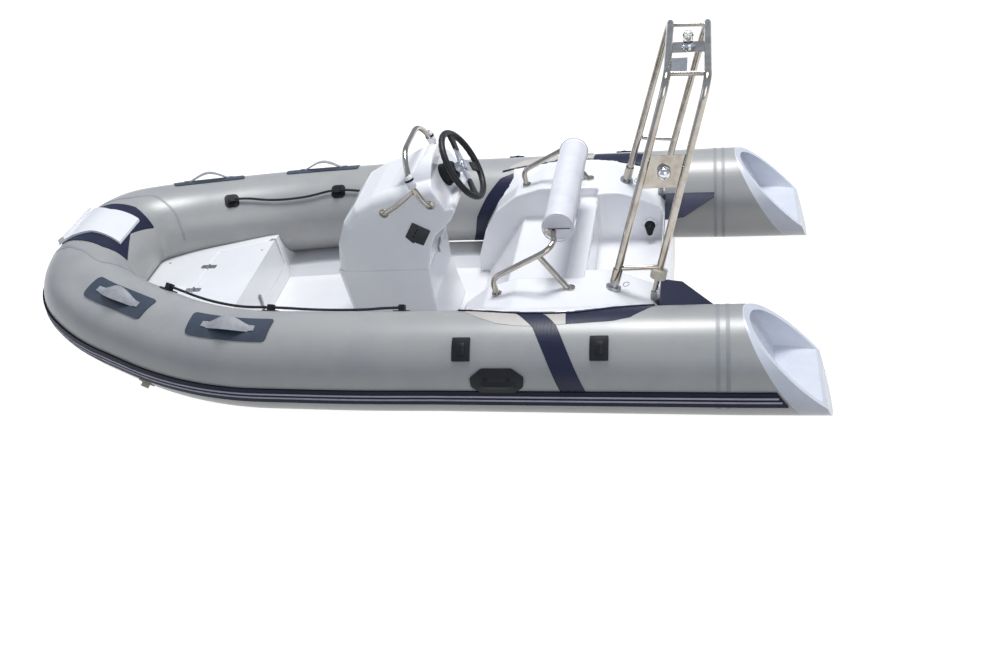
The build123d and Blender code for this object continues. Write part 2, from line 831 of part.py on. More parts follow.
def disc(plane, radius, height):
    with BuildPart() as puck:
        with BuildSketch(plane):
            Circle(radius)
        extrude(amount=height)
    return puck.part


def rod(start, end, radius):
    start, end = Vector(*start), Vector(*end)
    return disc(Plane(origin=start, z_dir=end - start), radius, (end - start).length)


waist_x, waist_z = hoop_waist
hoop_rise = (Vector(*hoop_top) - Vector(*hoop_waist)).normalized()
with BuildPart() as grab_hoop:
    add(tube_along(
        [
            (waist_x, hoop_half_width, waist_z), (hoop_top[0], hoop_half_width - 8, hoop_top[1]),
            (hoop_top[0], -hoop_half_width + 8, hoop_top[1]), (waist_x, -hoop_half_width, waist_z),
        ],
        rail_radius, hoop_bend,
    ))
    for side in (1, -1):
        for foot_x, foot_z in (hoop_foot_front, hoop_foot_aft):
            add(tube_along(
                [
                    (waist_x, side * hoop_half_width, waist_z + 20),
                    (
                        foot_x + (waist_x - foot_x) * 0.12, side * (hoop_half_width + 2),
                        foot_z + (waist_z - foot_z) * 0.12,
                    ),
                    (foot_x, side * (console_half_width + 2), foot_z),
                ],
                rail_radius * 0.72, 8,
            ))
            add(disc(
                Plane(origin=(foot_x, side * console_half_width, foot_z), z_dir=(0, side, 0)), foot_radius, foot_height,
            ))

    with Locations((waist_x, 0, console_brow[1][1])):
        Box(900, console_half_width * 2, console_brow[2][1] * 0.4, mode=Mode.SUBTRACT)

with BuildPart() as hoop_sleeves:
    for side in (1, -1):
        low = sleeve_start * hoop_rise
        high = (sleeve_start + sleeve_length) * hoop_rise
        add(rod(
            (waist_x + low.X, side * (hoop_half_width - 1), waist_z + low.Y),
            (waist_x + high.X, side * (hoop_half_width - 4), waist_z + high.Y), sleeve_radius,
        ))
    add(grab_hoop.part, mode=Mode.SUBTRACT)

# ---- stern moulding ----
toe_point = (seat_toe, floor_height)
wing_rim = [(x, tube_half_spacing - inboard) for x, inboard in wing_plan]
wing_outline = [(wing_front[0][0], floor_height)] + wing_front + wing_deck + [(wing_deck[-1][0], floor_height)]
skin_outline = [(wing_front[0][0], floor_height)] + wing_front + [
    (wing_plan[2][0], wing_deck[0][1]), (wing_plan[2][0], tube_top + 200),
    (wing_deck[-1][0], tube_top + 200), (wing_deck[-1][0], floor_height),
]
with BuildPart() as wing_skin:
    add(plan_prism(wing_rim, tube_height, tube_top + 100))
    add(tube_body(fit_gap + wing_lip), mode=Mode.INTERSECT)
    add(side_slab(skin_outline, half_space), mode=Mode.INTERSECT)

with BuildPart() as stern_moulding:
    add(plan_prism(wing_rim, floor_height, tube_top + 100))
    add(side_slab(wing_outline, half_space), mode=Mode.INTERSECT)
    add(wing_skin.part)
    add(tube_space, mode=Mode.SUBTRACT)
    add(side_slab(
        [
            (seat_back, seat_height), (seat_front, seat_height), toe_point, (seat_toe, floor_height - 10),
            (seat_toe + 200, floor_height - 10), (seat_toe + 200, 900), (ridge_aft, 900), (ridge_aft, ridge_height),
            (seat_back, ridge_height),
        ],
        seat_half_width,
    ), mode=Mode.SUBTRACT)
    with BuildSketch(Plane.XY.offset(well_floor)):
        with Locations(((well_aft + ridge_aft) / 2, 0)):
            RectangleRounded(ridge_aft - well_aft, well_half_width * 2, well_corner)
    extrude(amount=500, mode=Mode.SUBTRACT)
    for side in (1, -1):
        under_edge = side * (tube_half_spacing - wing_tuck)
        with BuildSketch(Plane.XY.offset(floor_height)):
            with BuildLine():
                Polyline(
                    (hull_aft - 100, under_edge), (hull_aft - 100, side * half_space),
                    (seat_toe + 200, side * half_space), (seat_toe + 200, under_edge), close=True,
                )
            make_face()
        extrude(amount=tube_height - floor_height, mode=Mode.SUBTRACT)
    add(under_flange.part, mode=Mode.SUBTRACT)
    add(deck_liner.part, mode=Mode.SUBTRACT)

with BuildPart() as cable_boot:
    wall_origin = (boot_centre[0], -well_half_width, boot_centre[1])
    wall_plane = Plane(origin=wall_origin, x_dir=(1, 0, 0), z_dir=(0, 1, 0))
    with BuildSketch(wall_plane):
        Circle(boot_ring_radius)
    extrude(amount=4)
    with BuildSketch(wall_plane):
        Circle(boot_radius)
    extrude(amount=boot_length, taper=12)

# ---- seat rails, back roll ----
with BuildPart() as seat_rail:
    add(tube_along(
        port_and_starboard([
            (rail_foot[0], rail_y, rail_foot[1] - 12), (rail_knee[0], rail_y, rail_knee[1]),
            (rail_elbow[0], rail_y, rail_elbow[1]), (bar_centre[0], roll_half_length + bar_bend, bar_centre[1]),
        ]),
        rail_radius, [50, 60, 60, 60, 60, 50],
    ))
    for side in (1, -1):
        brace_end = (brace_foot[0], side * rail_y, brace_foot[1] - 12)
        add(rod((brace_top[0], side * rail_y, brace_top[1]), brace_end, rail_radius))
        for foot_x, foot_z in (rail_foot, brace_foot):
            foot_end = (foot_x, side * rail_y, foot_z + foot_height)
            add(rod((foot_x, side * rail_y, foot_z - 15), foot_end, foot_radius))
    add(stern_moulding.part, mode=Mode.SUBTRACT)

with BuildPart() as back_roll:
    roll_origin = (roll_centre[0], -roll_half_length, roll_centre[1])
    with BuildSketch(Plane(origin=roll_origin, x_dir=(1, 0, 0), z_dir=(0, 1, 0))):
        Circle(roll_radius)
    extrude(amount=roll_half_length * 2)
    fillet(back_roll.edges().filter_by(GeomType.CIRCLE), radius=8)
    bar_origin = (bar_centre[0], -roll_half_length, bar_centre[1])
    with BuildSketch(Plane(origin=bar_origin, x_dir=(1, 0, 0), z_dir=(0, 1, 0))):
        Circle(rail_radius + fit_gap)
    extrude(amount=roll_half_length * 2, mode=Mode.SUBTRACT)

# ---- transom gussets ----
with BuildPart() as gusset_port:
    with BuildSketch(Plane.XY.offset(transom_top + fit_gap)):
        with BuildLine():
            Polyline(*gusset_outline, close=True)
        make_face()
    extrude(amount=gusset_thickness)
    add(tube_space, mode=Mode.SUBTRACT)

# ---- folding arch ----
hinge_x, hinge_y, hinge_z = arch_foot_aft
front_top = Vector(*arch_corner_front)
front_foot = Vector(*arch_foot_front)
front_leg = (front_top - front_foot).normalized()
front_start = front_foot + front_leg * (arch_boss_height + fit_gap)
knee = Vector(*arch_knee)
aft_top = Vector(*arch_corner_aft)
hinge_point = Vector(*arch_foot_aft)


def front_leg_at(z):
    return front_foot + front_leg * ((z - front_foot.Z) / front_leg.Z)


def aft_leg_at(z):
    along = (aft_top - knee).normalized()
    return knee + along * ((z - knee.Z) / along.Z)


with BuildPart() as arch_hoop_forward:
    add(tube_along(port_and_starboard([tuple(front_start), arch_corner_front]), arch_tube, arch_bend))
    for side in (1, -1):
        low, high = tuple(front_start), tuple(front_start + front_leg * arch_sleeve)
        add(rod((low[0], side * low[1], low[2]), (high[0], side * high[1], high[2]), arch_tube + 5))

with BuildPart() as arch_hoop_aft:
    add(tube_along(port_and_starboard([arch_knee, arch_corner_aft]), arch_tube, arch_bend))
    for side in (1, -1):
        strut = (knee - hinge_point).normalized()
        start, neck = hinge_point + strut * (arch_eye_radius + 9), hinge_point + strut * (arch_eye_radius + 12)
        add(rod((start.X, side * start.Y, start.Z), (knee.X, side * knee.Y, knee.Z), arch_tube * 0.7))
        add(rod((hinge_x, side * hinge_y, hinge_z), (neck.X, side * neck.Y, neck.Z), arch_neck_radius))
        add(rod(
            (hinge_x, side * hinge_y - arch_eye_half_width, hinge_z),
            (hinge_x, side * hinge_y + arch_eye_half_width, hinge_z), arch_eye_radius,
        ))
        with BuildSketch(Plane(origin=(hinge_x, side * hinge_y - 40, hinge_z), z_dir=(0, 1, 0))):
            Circle(arch_pin_radius + pin_gap)
        extrude(amount=80, mode=Mode.SUBTRACT)

with BuildPart() as arch_clamps:
    for side in (1, -1):
        low = knee - (knee - hinge_point).normalized() * clamp_height * 0.6
        high = knee + (aft_top - knee).normalized() * clamp_height * 0.4
        add(rod((low.X, side * low.Y, low.Z), (high.X, side * high.Y, high.Z), clamp_radius))
    add(arch_hoop_aft.part, mode=Mode.SUBTRACT)

with BuildPart() as arch_rungs:
    for side, height in rung_heights:
        start, end = front_leg_at(height), aft_leg_at(height - 8)
        add(rod((start.X, side * start.Y, start.Z), (end.X, side * end.Y, end.Z), rung_radius))
    for side in (1, -1):
        add(rod((front_top.X, side * top_rung_y, front_top.Z - 3), (aft_top.X, side * top_rung_y, aft_top.Z - 3),
                rung_radius))
    add(arch_hoop_forward.part, mode=Mode.SUBTRACT)
    add(arch_hoop_aft.part, mode=Mode.SUBTRACT)
    add(arch_clamps.part, mode=Mode.SUBTRACT)

with BuildPart() as arch_side_panel:
    corners = [front_leg_at(panel_low), front_leg_at(panel_high), aft_leg_at(panel_high), aft_leg_at(panel_low)]
    across = (corners[2] - corners[0]).cross(corners[3] - corners[1]).normalized()
    across = across if across.Y > 0 else -across
    middle = (corners[0] + corners[1] + corners[2] + corners[3]) / 4
    panel_plane = Plane(origin=middle, x_dir=corners[3] - corners[0], z_dir=across)
    with BuildSketch(panel_plane.offset(-panel_thickness / 2)):
        with BuildLine():
            Polyline(*[tuple(panel_plane.to_local_coords(c))[:2] for c in corners], close=True)
        make_face()
    extrude(amount=panel_thickness)
    add(arch_hoop_forward.part, mode=Mode.SUBTRACT)
    add(arch_hoop_aft.part, mode=Mode.SUBTRACT)

with BuildPart() as panel_ball:
    with BuildSketch(panel_plane.offset(panel_thickness / 2)):
        Circle(ball_radius * 0.8)
    extrude(amount=8)
    with Locations(panel_plane.offset(panel_thickness / 2 + 6 + ball_radius * 0.6)):
        Sphere(ball_radius)
    with BuildSketch(panel_plane.offset(panel_thickness / 2)):
        Rectangle(200, 200)
    extrude(amount=-60, mode=Mode.SUBTRACT)

plate_height = (front_top.Z + aft_top.Z) / 2
with BuildPart() as light_plate:
    with Locations(((front_top.X + aft_top.X) / 2, 0, plate_height)):
        Box(front_top.X - aft_top.X, light_plate_half * 2, panel_thickness)
    add(arch_hoop_forward.part, mode=Mode.SUBTRACT)
    add(arch_hoop_aft.part, mode=Mode.SUBTRACT)

with BuildPart() as aerial_plate:
    with Locations((front_top.X - aerial_plate_size[0] / 2, aerial_plate_y, front_top.Z)):
        Box(aerial_plate_size[0], aerial_plate_size[1], panel_thickness)
    add(arch_hoop_forward.part, mode=Mode.SUBTRACT)

with BuildPart() as mast_light:
    light_x = (front_top.X + aft_top.X) / 2
    light_base = Plane(origin=(light_x, 0, plate_height + panel_thickness / 2), z_dir=(0, 0, 1))
    with BuildSketch(light_base):
        Circle(light_radius * 0.8)
    extrude(amount=12)
    with BuildSketch(light_base):
        Circle(light_radius)
    extrude(amount=light_height - light_radius, mode=Mode.ADD)
    with Locations(light_base.offset(light_height - light_radius)):
        Sphere(light_radius)

with BuildPart() as arch_feet_forward:
    for side in (1, -1):
        low = front_foot - front_leg * 20
        high = front_foot + front_leg * arch_boss_height
        add(rod((low.X, side * low.Y, low.Z), (high.X, side * high.Y, high.Z), arch_tube + 3))
        low, high = front_foot - front_leg * 20, front_foot + front_leg * 7
        add(rod((low.X, side * low.Y, low.Z), (high.X, side * high.Y, high.Z), arch_tube * 2))
    add(stern_moulding.part, mode=Mode.SUBTRACT)
    add(tube_space, mode=Mode.SUBTRACT)
    keep_above_deck = [(wing_deck[3][0] + 80, wing_deck[3][1] - 8), (wing_deck[3][0] - 80, wing_deck[3][1] - 40),
                       (wing_deck[3][0] - 80, 600), (wing_deck[3][0] + 80, 600)]
    add(side_slab(keep_above_deck, half_space), mode=Mode.INTERSECT)

with BuildPart() as arch_hinges_aft:
    for side in (1, -1):
        for cheek in (1, -1):
            cheek_middle = cheek * (arch_eye_half_width + 0.5 + arch_cheek / 2)
            cheek_origin = (hinge_x, side * hinge_y + cheek_middle - arch_cheek / 2, hinge_z)
            with BuildSketch(Plane(origin=cheek_origin, x_dir=(1, 0, 0), z_dir=(0, 1, 0))):
                Circle(arch_eye_radius)
                with Locations((0, 25)):
                    Rectangle(arch_eye_radius * 2, 50)
            extrude(amount=arch_cheek)
        add(rod((hinge_x, side * hinge_y - 16, hinge_z), (hinge_x, side * hinge_y + 16, hinge_z), arch_pin_radius))
        stem_top = (hinge_x, side * hinge_y, hinge_z - arch_eye_radius - 3)
        add(rod((hinge_x, side * hinge_y, hinge_z - 50), stem_top, arch_tube * 1.6))
    add(stern_moulding.part, mode=Mode.SUBTRACT)
    add(side_slab([(hinge_x + 60, wing_deck[4][1] - 10), (wing_deck[-1][0], wing_deck[-1][1] - 10),
                   (wing_deck[-1][0], 500), (hinge_x + 60, 500)], half_space), mode=Mode.INTERSECT)

# ---- fittings on the tube ----
def skin_pad(plane, length, width):
    """A rounded pad of pad_thickness laid on the tube round the plane's origin."""
    with BuildPart() as pad:
        with BuildSketch(plane):
            RectangleRounded(length, width, min(length, width) * 0.3)
        extrude(amount=60, both=True)
        add(pad_space, mode=Mode.INTERSECT)
        add(tube_space, mode=Mode.SUBTRACT)
    return pad.part


def both_sides(piece):
    """A port piece and its mirror image to starboard."""
    with BuildPart() as pair:
        add(piece)
        mirror(piece, about=Plane.XZ)
    return pair.part


def carry_handle(x, angle, length, width):
    """A pad with a raised strap loop along the tube."""
    plane = on_tube(x, angle)
    half = loop_length / 2
    with BuildPart() as handle:
        add(skin_pad(plane, length, width))
        loop_origin = plane.origin - plane.y_dir * loop_width / 2
        with BuildSketch(Plane(origin=loop_origin, x_dir=plane.x_dir, z_dir=plane.y_dir)):
            with BuildLine():
                Polyline(
                    (half + 20, 12), (half, 12), (half - 22, -loop_rise), (22 - half, -loop_rise),
                    (-half, 12), (-half - 20, 12), (-half - 20, -pad_thickness - 4), (-half - 2, -pad_thickness - 4),
                    (20 - half, -loop_rise - loop_strap), (half - 20, -loop_rise - loop_strap),
                    (half + 2, -pad_thickness - 4), (half + 20, -pad_thickness - 4), close=True,
                )
            make_face()
        extrude(amount=loop_width)
        add(tube_space, mode=Mode.SUBTRACT)
    return handle.part


with BuildPart() as rope_holders_port:
    for x in holder_stations:
        plane = on_tube(x, holder_angle)
        add(skin_pad(plane, holder_radius * 2, holder_radius * 2))
        with BuildSketch(plane.offset(-8)):
            Rectangle(holder_block[0], holder_block[1])
        extrude(amount=holder_block[2] + 8)
        rope_start = plane.origin + plane.z_dir * rope_lift - plane.x_dir * 60
        with BuildSketch(Plane(origin=rope_start, z_dir=plane.x_dir)):
            Circle(rope_radius + fit_gap)
        extrude(amount=120, mode=Mode.SUBTRACT)
    add(tube_space, mode=Mode.SUBTRACT)

# The lifeline's route: straight through each holder, hanging a little between them
rope_points = []
for index, x in enumerate(holder_stations):
    plane = on_tube(x, holder_angle, rope_lift)
    if index:
        before = holder_stations[index - 1]
        for share, sag in ((0.3, 0.8), (0.5, 1.0), (0.72, 0.75)):
            station = before + (x - before) * share
            rope_points.append(on_tube(station, holder_angle + rope_sag * sag, rope_lift * 0.8).origin)
    reaches = (-45, 45)
    if index == 0:
        reaches = (0, 70)
    if index == len(holder_stations) - 1:
        reaches = (-70, 0)
    for reach in reaches:
        rope_points.append(plane.origin - plane.x_dir * reach)
rope_radii = corner_radii([tuple(p) for p in rope_points])
print("lifeline radii", [round(r) for r in rope_radii])
with BuildPart() as lifeline_port:
    add(tube_along([tuple(p) for p in rope_points], rope_radius, rope_radii))

with BuildPart() as side_grab_port:
    x, angle, length, width = side_grab
    plane = on_tube(x, angle)
    add(skin_pad(plane, length, width))
    strap_origin = plane.origin - plane.y_dir * width * 0.16
    with BuildSketch(Plane(origin=strap_origin, x_dir=plane.x_dir, z_dir=plane.y_dir)):
        with BuildLine():
            Polyline(
                (length * 0.38, 12), (length * 0.27, -loop_rise * 0.8), (-length * 0.27, -loop_rise * 0.8),
                (-length * 0.38, 12), (-length * 0.47, 12), (-length * 0.3, -loop_rise * 1.15),
                (length * 0.3, -loop_rise * 1.15), (length * 0.47, 12), close=True,
            )
        make_face()
    extrude(amount=width * 0.32)
    add(tube_space, mode=Mode.SUBTRACT)

with BuildPart() as side_fittings_port:
    for x, angle in side_fittings:
        plane = on_tube(x, angle)
        add(skin_pad(plane, fitting_size[0], fitting_size[1]))
        with BuildSketch(plane.offset(-6)):
            RectangleRounded(fitting_size[0] * 0.62, fitting_size[1] * 0.5, 12)
        extrude(amount=fitting_size[2] + 6, taper=14)
    add(tube_space, mode=Mode.SUBTRACT)

with BuildPart() as tow_patch_port:
    plane = on_tube(*tow_patch)
    add(skin_pad(plane, 64, 64))
    with BuildSketch(plane.offset(-4)):
        SlotOverall(40, 22)
    extrude(amount=26)
    add(tube_space, mode=Mode.SUBTRACT)
    add(rubbing_strake.part, mode=Mode.SUBTRACT)

# ---- bow pad and plate ----
with BuildPart() as bow_pad:
    add(plan_prism(bow_pad_plan, tube_top - 60, tube_top + 240))
    add(pad_space, mode=Mode.INTERSECT)
    add(tube_space, mode=Mode.SUBTRACT)

plate_lift = 2 * fit_gap + pad_thickness
lip_half_width = bow_plate_plan[-1][1]
with BuildPart() as bow_plate:
    add(plan_prism(bow_plate_plan, tube_top - 60, tube_top + 200))
    add(tube_body(plate_lift + bow_plate_thickness), mode=Mode.INTERSECT)
    with BuildPart(mode=Mode.PRIVATE) as plate_lip:
        add(plan_prism(
            [(bow_lip_aft, lip_half_width), (bow_plate_plan[-1][0], lip_half_width)], tube_top - 60, tube_top + 200,
        ))
        add(tube_body(plate_lift + bow_plate_thickness + bow_plate_rise), mode=Mode.INTERSECT)
    add(plate_lip.part)
    add(tube_body(plate_lift), mode=Mode.SUBTRACT)

# ---- bow eye ----
eye_x, eye_z = bow_eye_centre
with BuildPart() as bow_eye:
    add(tube_along(
        [
            (eye_x - 30, 0, eye_z + 25), (eye_x - 22, 0, eye_z - bow_eye_reach),
            (eye_x + 32, 0, eye_z - bow_eye_reach + 20), (eye_x + 24, 0, eye_z + 60),
        ],
        bow_eye_radius, 15,
    ))
    add(deck_liner.part, mode=Mode.SUBTRACT)
    add(foredeck.part, mode=Mode.SUBTRACT)
    add(hull.part, mode=Mode.SUBTRACT)

# ---- the pieces, each under its own name ----
pieces = {
    "collar_tube": collar_tube.part,
    "end_caps": both_sides(end_cap_port.part),
    "rubbing_strake": rubbing_strake.part,
    "hull": hull.part,
    "deck_liner": deck_liner.part,
    "transom": transom.part,
    "gussets": both_sides(gusset_port.part),
    "foredeck": foredeck.part,
    "locker_hatch": locker_hatch.part,
    "hatch_hinge_leaves": hatch_hinge_leaves.part,
    "deck_hinge_leaves": deck_hinge_leaves.part,
    "locker_latch": locker_latch.part,
    "locker_keeper": locker_keeper.part,
    "console_base": console_base.part,
    "console_top": console_top.part,
    "console_hinge_base": console_hinge_base.part,
    "console_hinge_top": console_hinge_top.part,
    "console_latch": console_latch.part,
    "console_keeper": console_keeper.part,
    "socket_panel": socket_panel.part,
    "helm_bezel": helm_bezel.part,
    "steering_wheel": steering_wheel.part,
    "wheel_hub": wheel_hub.part,
    "grab_hoop": grab_hoop.part,
    "hoop_sleeves": hoop_sleeves.part,
    "stern_moulding": stern_moulding.part,
    "cable_boot": cable_boot.part,
    "seat_rail": seat_rail.part,
    "back_roll": back_roll.part,
    "arch_hoop_forward": arch_hoop_forward.part,
    "arch_hoop_aft": arch_hoop_aft.part,
    "arch_clamps": arch_clamps.part,
    "arch_rungs": arch_rungs.part,
    "arch_side_panel": arch_side_panel.part,
    "panel_ball": panel_ball.part,
    "light_plate": light_plate.part,
    "aerial_plate": aerial_plate.part,
    "mast_light": mast_light.part,
    "arch_feet_forward": arch_feet_forward.part,
    "arch_hinges_aft": arch_hinges_aft.part,
    "rope_holders": both_sides(rope_holders_port.part),
    "lifeline_port": lifeline_port.part,
    "lifeline_starboard": mirror(lifeline_port.part, about=Plane.XZ, mode=Mode.PRIVATE),
    "side_grabs": both_sides(side_grab_port.part),
    "side_fittings": both_sides(side_fittings_port.part),
    "tow_patches": both_sides(tow_patch_port.part),
    "bow_pad": bow_pad.part,
    "bow_plate": bow_plate.part,
    "bow_eye": bow_eye.part,
}
for name, x, angle, length, width in carry_handles:
    pieces["carry_handles_" + name] = both_sides(carry_handle(x, angle, length, width))

for name, piece in pieces.items():
    piece.label = name
    export_step(piece, f"parts/{name}.step")
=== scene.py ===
import bpy
import json
import math
from mathutils import Matrix, Vector

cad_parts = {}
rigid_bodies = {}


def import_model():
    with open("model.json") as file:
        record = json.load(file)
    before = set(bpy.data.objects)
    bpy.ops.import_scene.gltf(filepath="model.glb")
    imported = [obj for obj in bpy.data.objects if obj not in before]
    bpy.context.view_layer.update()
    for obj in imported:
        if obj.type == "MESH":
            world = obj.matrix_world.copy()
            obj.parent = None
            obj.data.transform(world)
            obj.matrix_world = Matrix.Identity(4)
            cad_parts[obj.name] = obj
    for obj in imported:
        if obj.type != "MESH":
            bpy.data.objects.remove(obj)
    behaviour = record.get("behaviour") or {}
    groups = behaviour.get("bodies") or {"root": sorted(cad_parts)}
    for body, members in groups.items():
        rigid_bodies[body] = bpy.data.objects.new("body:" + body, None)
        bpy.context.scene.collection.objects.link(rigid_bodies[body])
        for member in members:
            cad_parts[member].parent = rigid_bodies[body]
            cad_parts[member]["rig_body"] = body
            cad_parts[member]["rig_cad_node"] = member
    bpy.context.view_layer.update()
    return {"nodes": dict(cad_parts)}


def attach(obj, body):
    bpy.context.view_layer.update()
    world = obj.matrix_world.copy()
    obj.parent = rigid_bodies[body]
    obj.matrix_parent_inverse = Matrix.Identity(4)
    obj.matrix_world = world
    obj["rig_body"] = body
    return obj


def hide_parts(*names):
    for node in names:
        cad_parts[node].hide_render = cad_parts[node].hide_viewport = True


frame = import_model()
nodes = frame["nodes"]
bpy.ops.object.select_all(action="DESELECT")
print("frame loaded,", len(nodes), "nodes")


# materials
def toLinear(hexColour):
    parts = [int(hexColour[i:i + 2], 16) / 255 for i in (0, 2, 4)]
    return tuple(p / 12.92 if p <= 0.04045 else ((p + 0.055) / 1.055) ** 2.4 for p in parts) + (1.0,)


def addNode(tree, kind, settings=None, links=None):
    node = tree.nodes.new(kind)
    for key, value in (settings or {}).items():
        if isinstance(key, int) or key in node.inputs:
            node.inputs[key].default_value = value
        else:
            setattr(node, key, value)
    for key, (source, output) in (links or {}).items():
        tree.links.new(source.outputs[output], node.inputs[key])
    return node


def surface(name, colour, tint, cloud, grain, depth, roughness, spread, stretch=(1, 1, 1), weave=0, **shader):
    # cloud, grain and weave are sizes in mm, depth is the grain's height in mm
    material = bpy.data.materials.new(name)
    material.use_nodes = True
    tree = material.node_tree
    bsdf = tree.nodes["Principled BSDF"]
    for key, value in shader.items():
        bsdf.inputs[key.replace("_", " ")].default_value = value
    place = addNode(tree, "ShaderNodeTexCoord")
    mapping = addNode(tree, "ShaderNodeMapping", {"Scale": stretch}, {"Vector": (place, "Object")})
    clouds = addNode(tree, "ShaderNodeTexNoise", {"Scale": 1000 / cloud, "Detail": 5.0, "Roughness": 0.6},
                     {"Vector": (mapping, "Vector")})
    spots = addNode(tree, "ShaderNodeMapRange", {"From Min": 0.42, "From Max": 0.68},
                    {"Value": (clouds, "Fac")})
    mix = addNode(tree, "ShaderNodeMix", {"data_type": "RGBA", 6: toLinear(colour), 7: toLinear(tint)},
                  {0: (spots, "Result")})
    tree.links.new(mix.outputs[2], bsdf.inputs["Base Color"])
    fine = addNode(tree, "ShaderNodeTexNoise", {"Scale": 1000 / grain, "Detail": 3.0},
                   {"Vector": (mapping, "Vector")})
    rough = addNode(tree, "ShaderNodeMapRange",
                    {"To Min": max(roughness - spread, 0.02), "To Max": roughness + spread},
                    {"Value": (clouds, "Fac")})
    tree.links.new(rough.outputs["Result"], bsdf.inputs["Roughness"])
    bump = addNode(tree, "ShaderNodeBump", {"Distance": depth / 1000, "Strength": 1.0},
                   {"Height": (fine, "Fac")})
    if weave:
        for direction in ("X", "Z"):
            threads = addNode(tree, "ShaderNodeTexWave",
                              {"bands_direction": direction, "Scale": 1000 / weave / 20, "Distortion": 0.4},
                              {"Vector": (place, "Object")})
            bump = addNode(tree, "ShaderNodeBump", {"Distance": depth / 1000, "Strength": 0.6},
                           {"Height": (threads, "Fac"), "Normal": (bump, "Normal")})
    tree.links.new(bump.outputs["Normal"], bsdf.inputs["Normal"])
    return material


# coated polyester: a leather-like skin over a weave, soft broad highlights
tubeFabric = surface("tubeCoatedFabric", "A6A6A4", "9E9F9F", 160, 2.2, 0.1, 0.36, 0.04, weave=2.4,
                     Specular_IOR_Level=0.6, Coat_Weight=0.35, Coat_Roughness=0.34)
tapeFabric = surface("seamTapeFabric", "999B9D", "909396", 60, 2.0, 0.15, 0.42, 0.05, weave=2.4)
paleFabric = surface("wingSkirtFabric", "C4BFB9", "B8B3AD", 80, 2.0, 0.15, 0.42, 0.05, weave=2.4)
navyFabric = surface("navyCoatedFabric", "191D3A", "141830", 90, 2.0, 0.15, 0.38, 0.06, weave=2.4,
                     Specular_IOR_Level=0.35)
slateFabric = surface("slateMouldedPad", "3A4352", "323A48", 60, 1.6, 0.2, 0.45, 0.06)
slateStrap = surface("greyWebbing", "A2A3A8", "92949B", 30, 1.4, 0.3, 0.6, 0.05, weave=1.8)
# polished gelcoat over glass fibre: glossy, with a faint orange peel
gelcoat = surface("polishedGelcoat", "F0F0F2", "EAEBF0", 300, 9, 0.05, 0.2, 0.05, Coat_Weight=0.4,
                  Coat_Roughness=0.08)
capPlastic = surface("mouldedCapPlastic", "DFE3EC", "D5DAE6", 120, 4, 0.05, 0.26, 0.06)
strakeRubber = surface("navyStrakeRubber", "14162C", "0F1124", 70, 1.8, 0.12, 0.5, 0.06,
                       Specular_IOR_Level=0.15)
stripeRubber = surface("lilacStripeRubber", "B4B4C2", "A6A6B6", 50, 1.8, 0.1, 0.5, 0.06)
blackRubber = surface("blackMouldedRubber", "101216", "17191D", 40, 1.2, 0.2, 0.5, 0.08,
                      Specular_IOR_Level=0.3)
softRubber = surface("softTouchRim", "161619", "1C1C20", 25, 1.0, 0.25, 0.46, 0.06, weave=2.0,
                     Specular_IOR_Level=0.35)
beigeRubber = surface("beigeRubber", "B9AC9C", "A99C8C", 40, 1.5, 0.2, 0.5, 0.06)
blackPlastic = surface("texturedBlackPlastic", "303236", "28292D", 40, 0.9, 0.2, 0.45, 0.06)
vinyl = surface("marineVinyl", "E4E4EA", "DADAE2", 120, 1.6, 0.22, 0.34, 0.05, Coat_Weight=0.15,
                Coat_Roughness=0.3)
# the warm brown base and darker brown clouds of the polished steel stand for brown surroundings mirrored in
# it: painted reflection
polished = surface("polishedStainless", "B9B3AA", "A0978A", 70, 6, 0.02, 0.11, 0.04, Metallic=1.0)
satin = surface("brushedStainless", "B5B5B5", "9A9A98", 30, 0.8, 0.02, 0.3, 0.06, stretch=(1, 1, 8),
                Metallic=1.0)
hubMetal = surface("satinAluminium", "BFC1C6", "AAADB4", 30, 0.7, 0.03, 0.34, 0.06, Metallic=1.0)
chrome = surface("mirrorChrome", "DADADC", "CFCFD2", 60, 8, 0.01, 0.05, 0.02, Metallic=1.0)
ivory = surface("ivoryNylon", "D9D3C0", "CEC7B2", 40, 2, 0.08, 0.4, 0.05, Subsurface_Weight=0.1)
lens = surface("clearLampLens", "F2F5F7", "E6EBEF", 40, 3, 0.02, 0.05, 0.02, Transmission_Weight=0.92,
               IOR=1.45)
# painted shade: a near-black for small dark pieces that stand for the shade inside slits, wells, slots and
# socket holes
gapShadePaint = surface("paintedGapShade", "1C1E22", "15171A", 30, 2, 0.1, 0.7, 0.05, Specular_IOR_Level=0.2)


def ropeSurface(name, colour, tint, pitch, strands):
    # braided polyester cord: strands cross at one pitch of 9 mm, drawn as coarse as it shows
    material = bpy.data.materials.new(name)
    material.use_nodes = True
    tree = material.node_tree
    bsdf = tree.nodes["Principled BSDF"]
    place = addNode(tree, "ShaderNodeTexCoord")
    normal = None
    for turn in (1, -1):
        mapping = addNode(tree, "ShaderNodeMapping", {"Scale": (pitch, strands, 1),
                                                      "Rotation": (0, 0, turn * 0.78)},
                          {"Vector": (place, "UV")})
        braid = addNode(tree, "ShaderNodeTexWave", {"Scale": 1.0, "Distortion": 0.3},
                        {"Vector": (mapping, "Vector")})
        links = {"Height": (braid, "Fac")}
        if normal:
            links["Normal"] = (normal, "Normal")
        normal = addNode(tree, "ShaderNodeBump", {"Distance": 0.0012, "Strength": 0.8}, links)
    mix = addNode(tree, "ShaderNodeMix", {"data_type": "RGBA", 6: toLinear(colour), 7: toLinear(tint)},
                  {0: (braid, "Fac")})
    tree.links.new(mix.outputs[2], bsdf.inputs["Base Color"])
    tree.links.new(normal.outputs["Normal"], bsdf.inputs["Normal"])
    bsdf.inputs["Roughness"].default_value = 0.75
    return material


blackRope = ropeSurface("blackBraidedCord", "141416", "34343A", 160, 3)

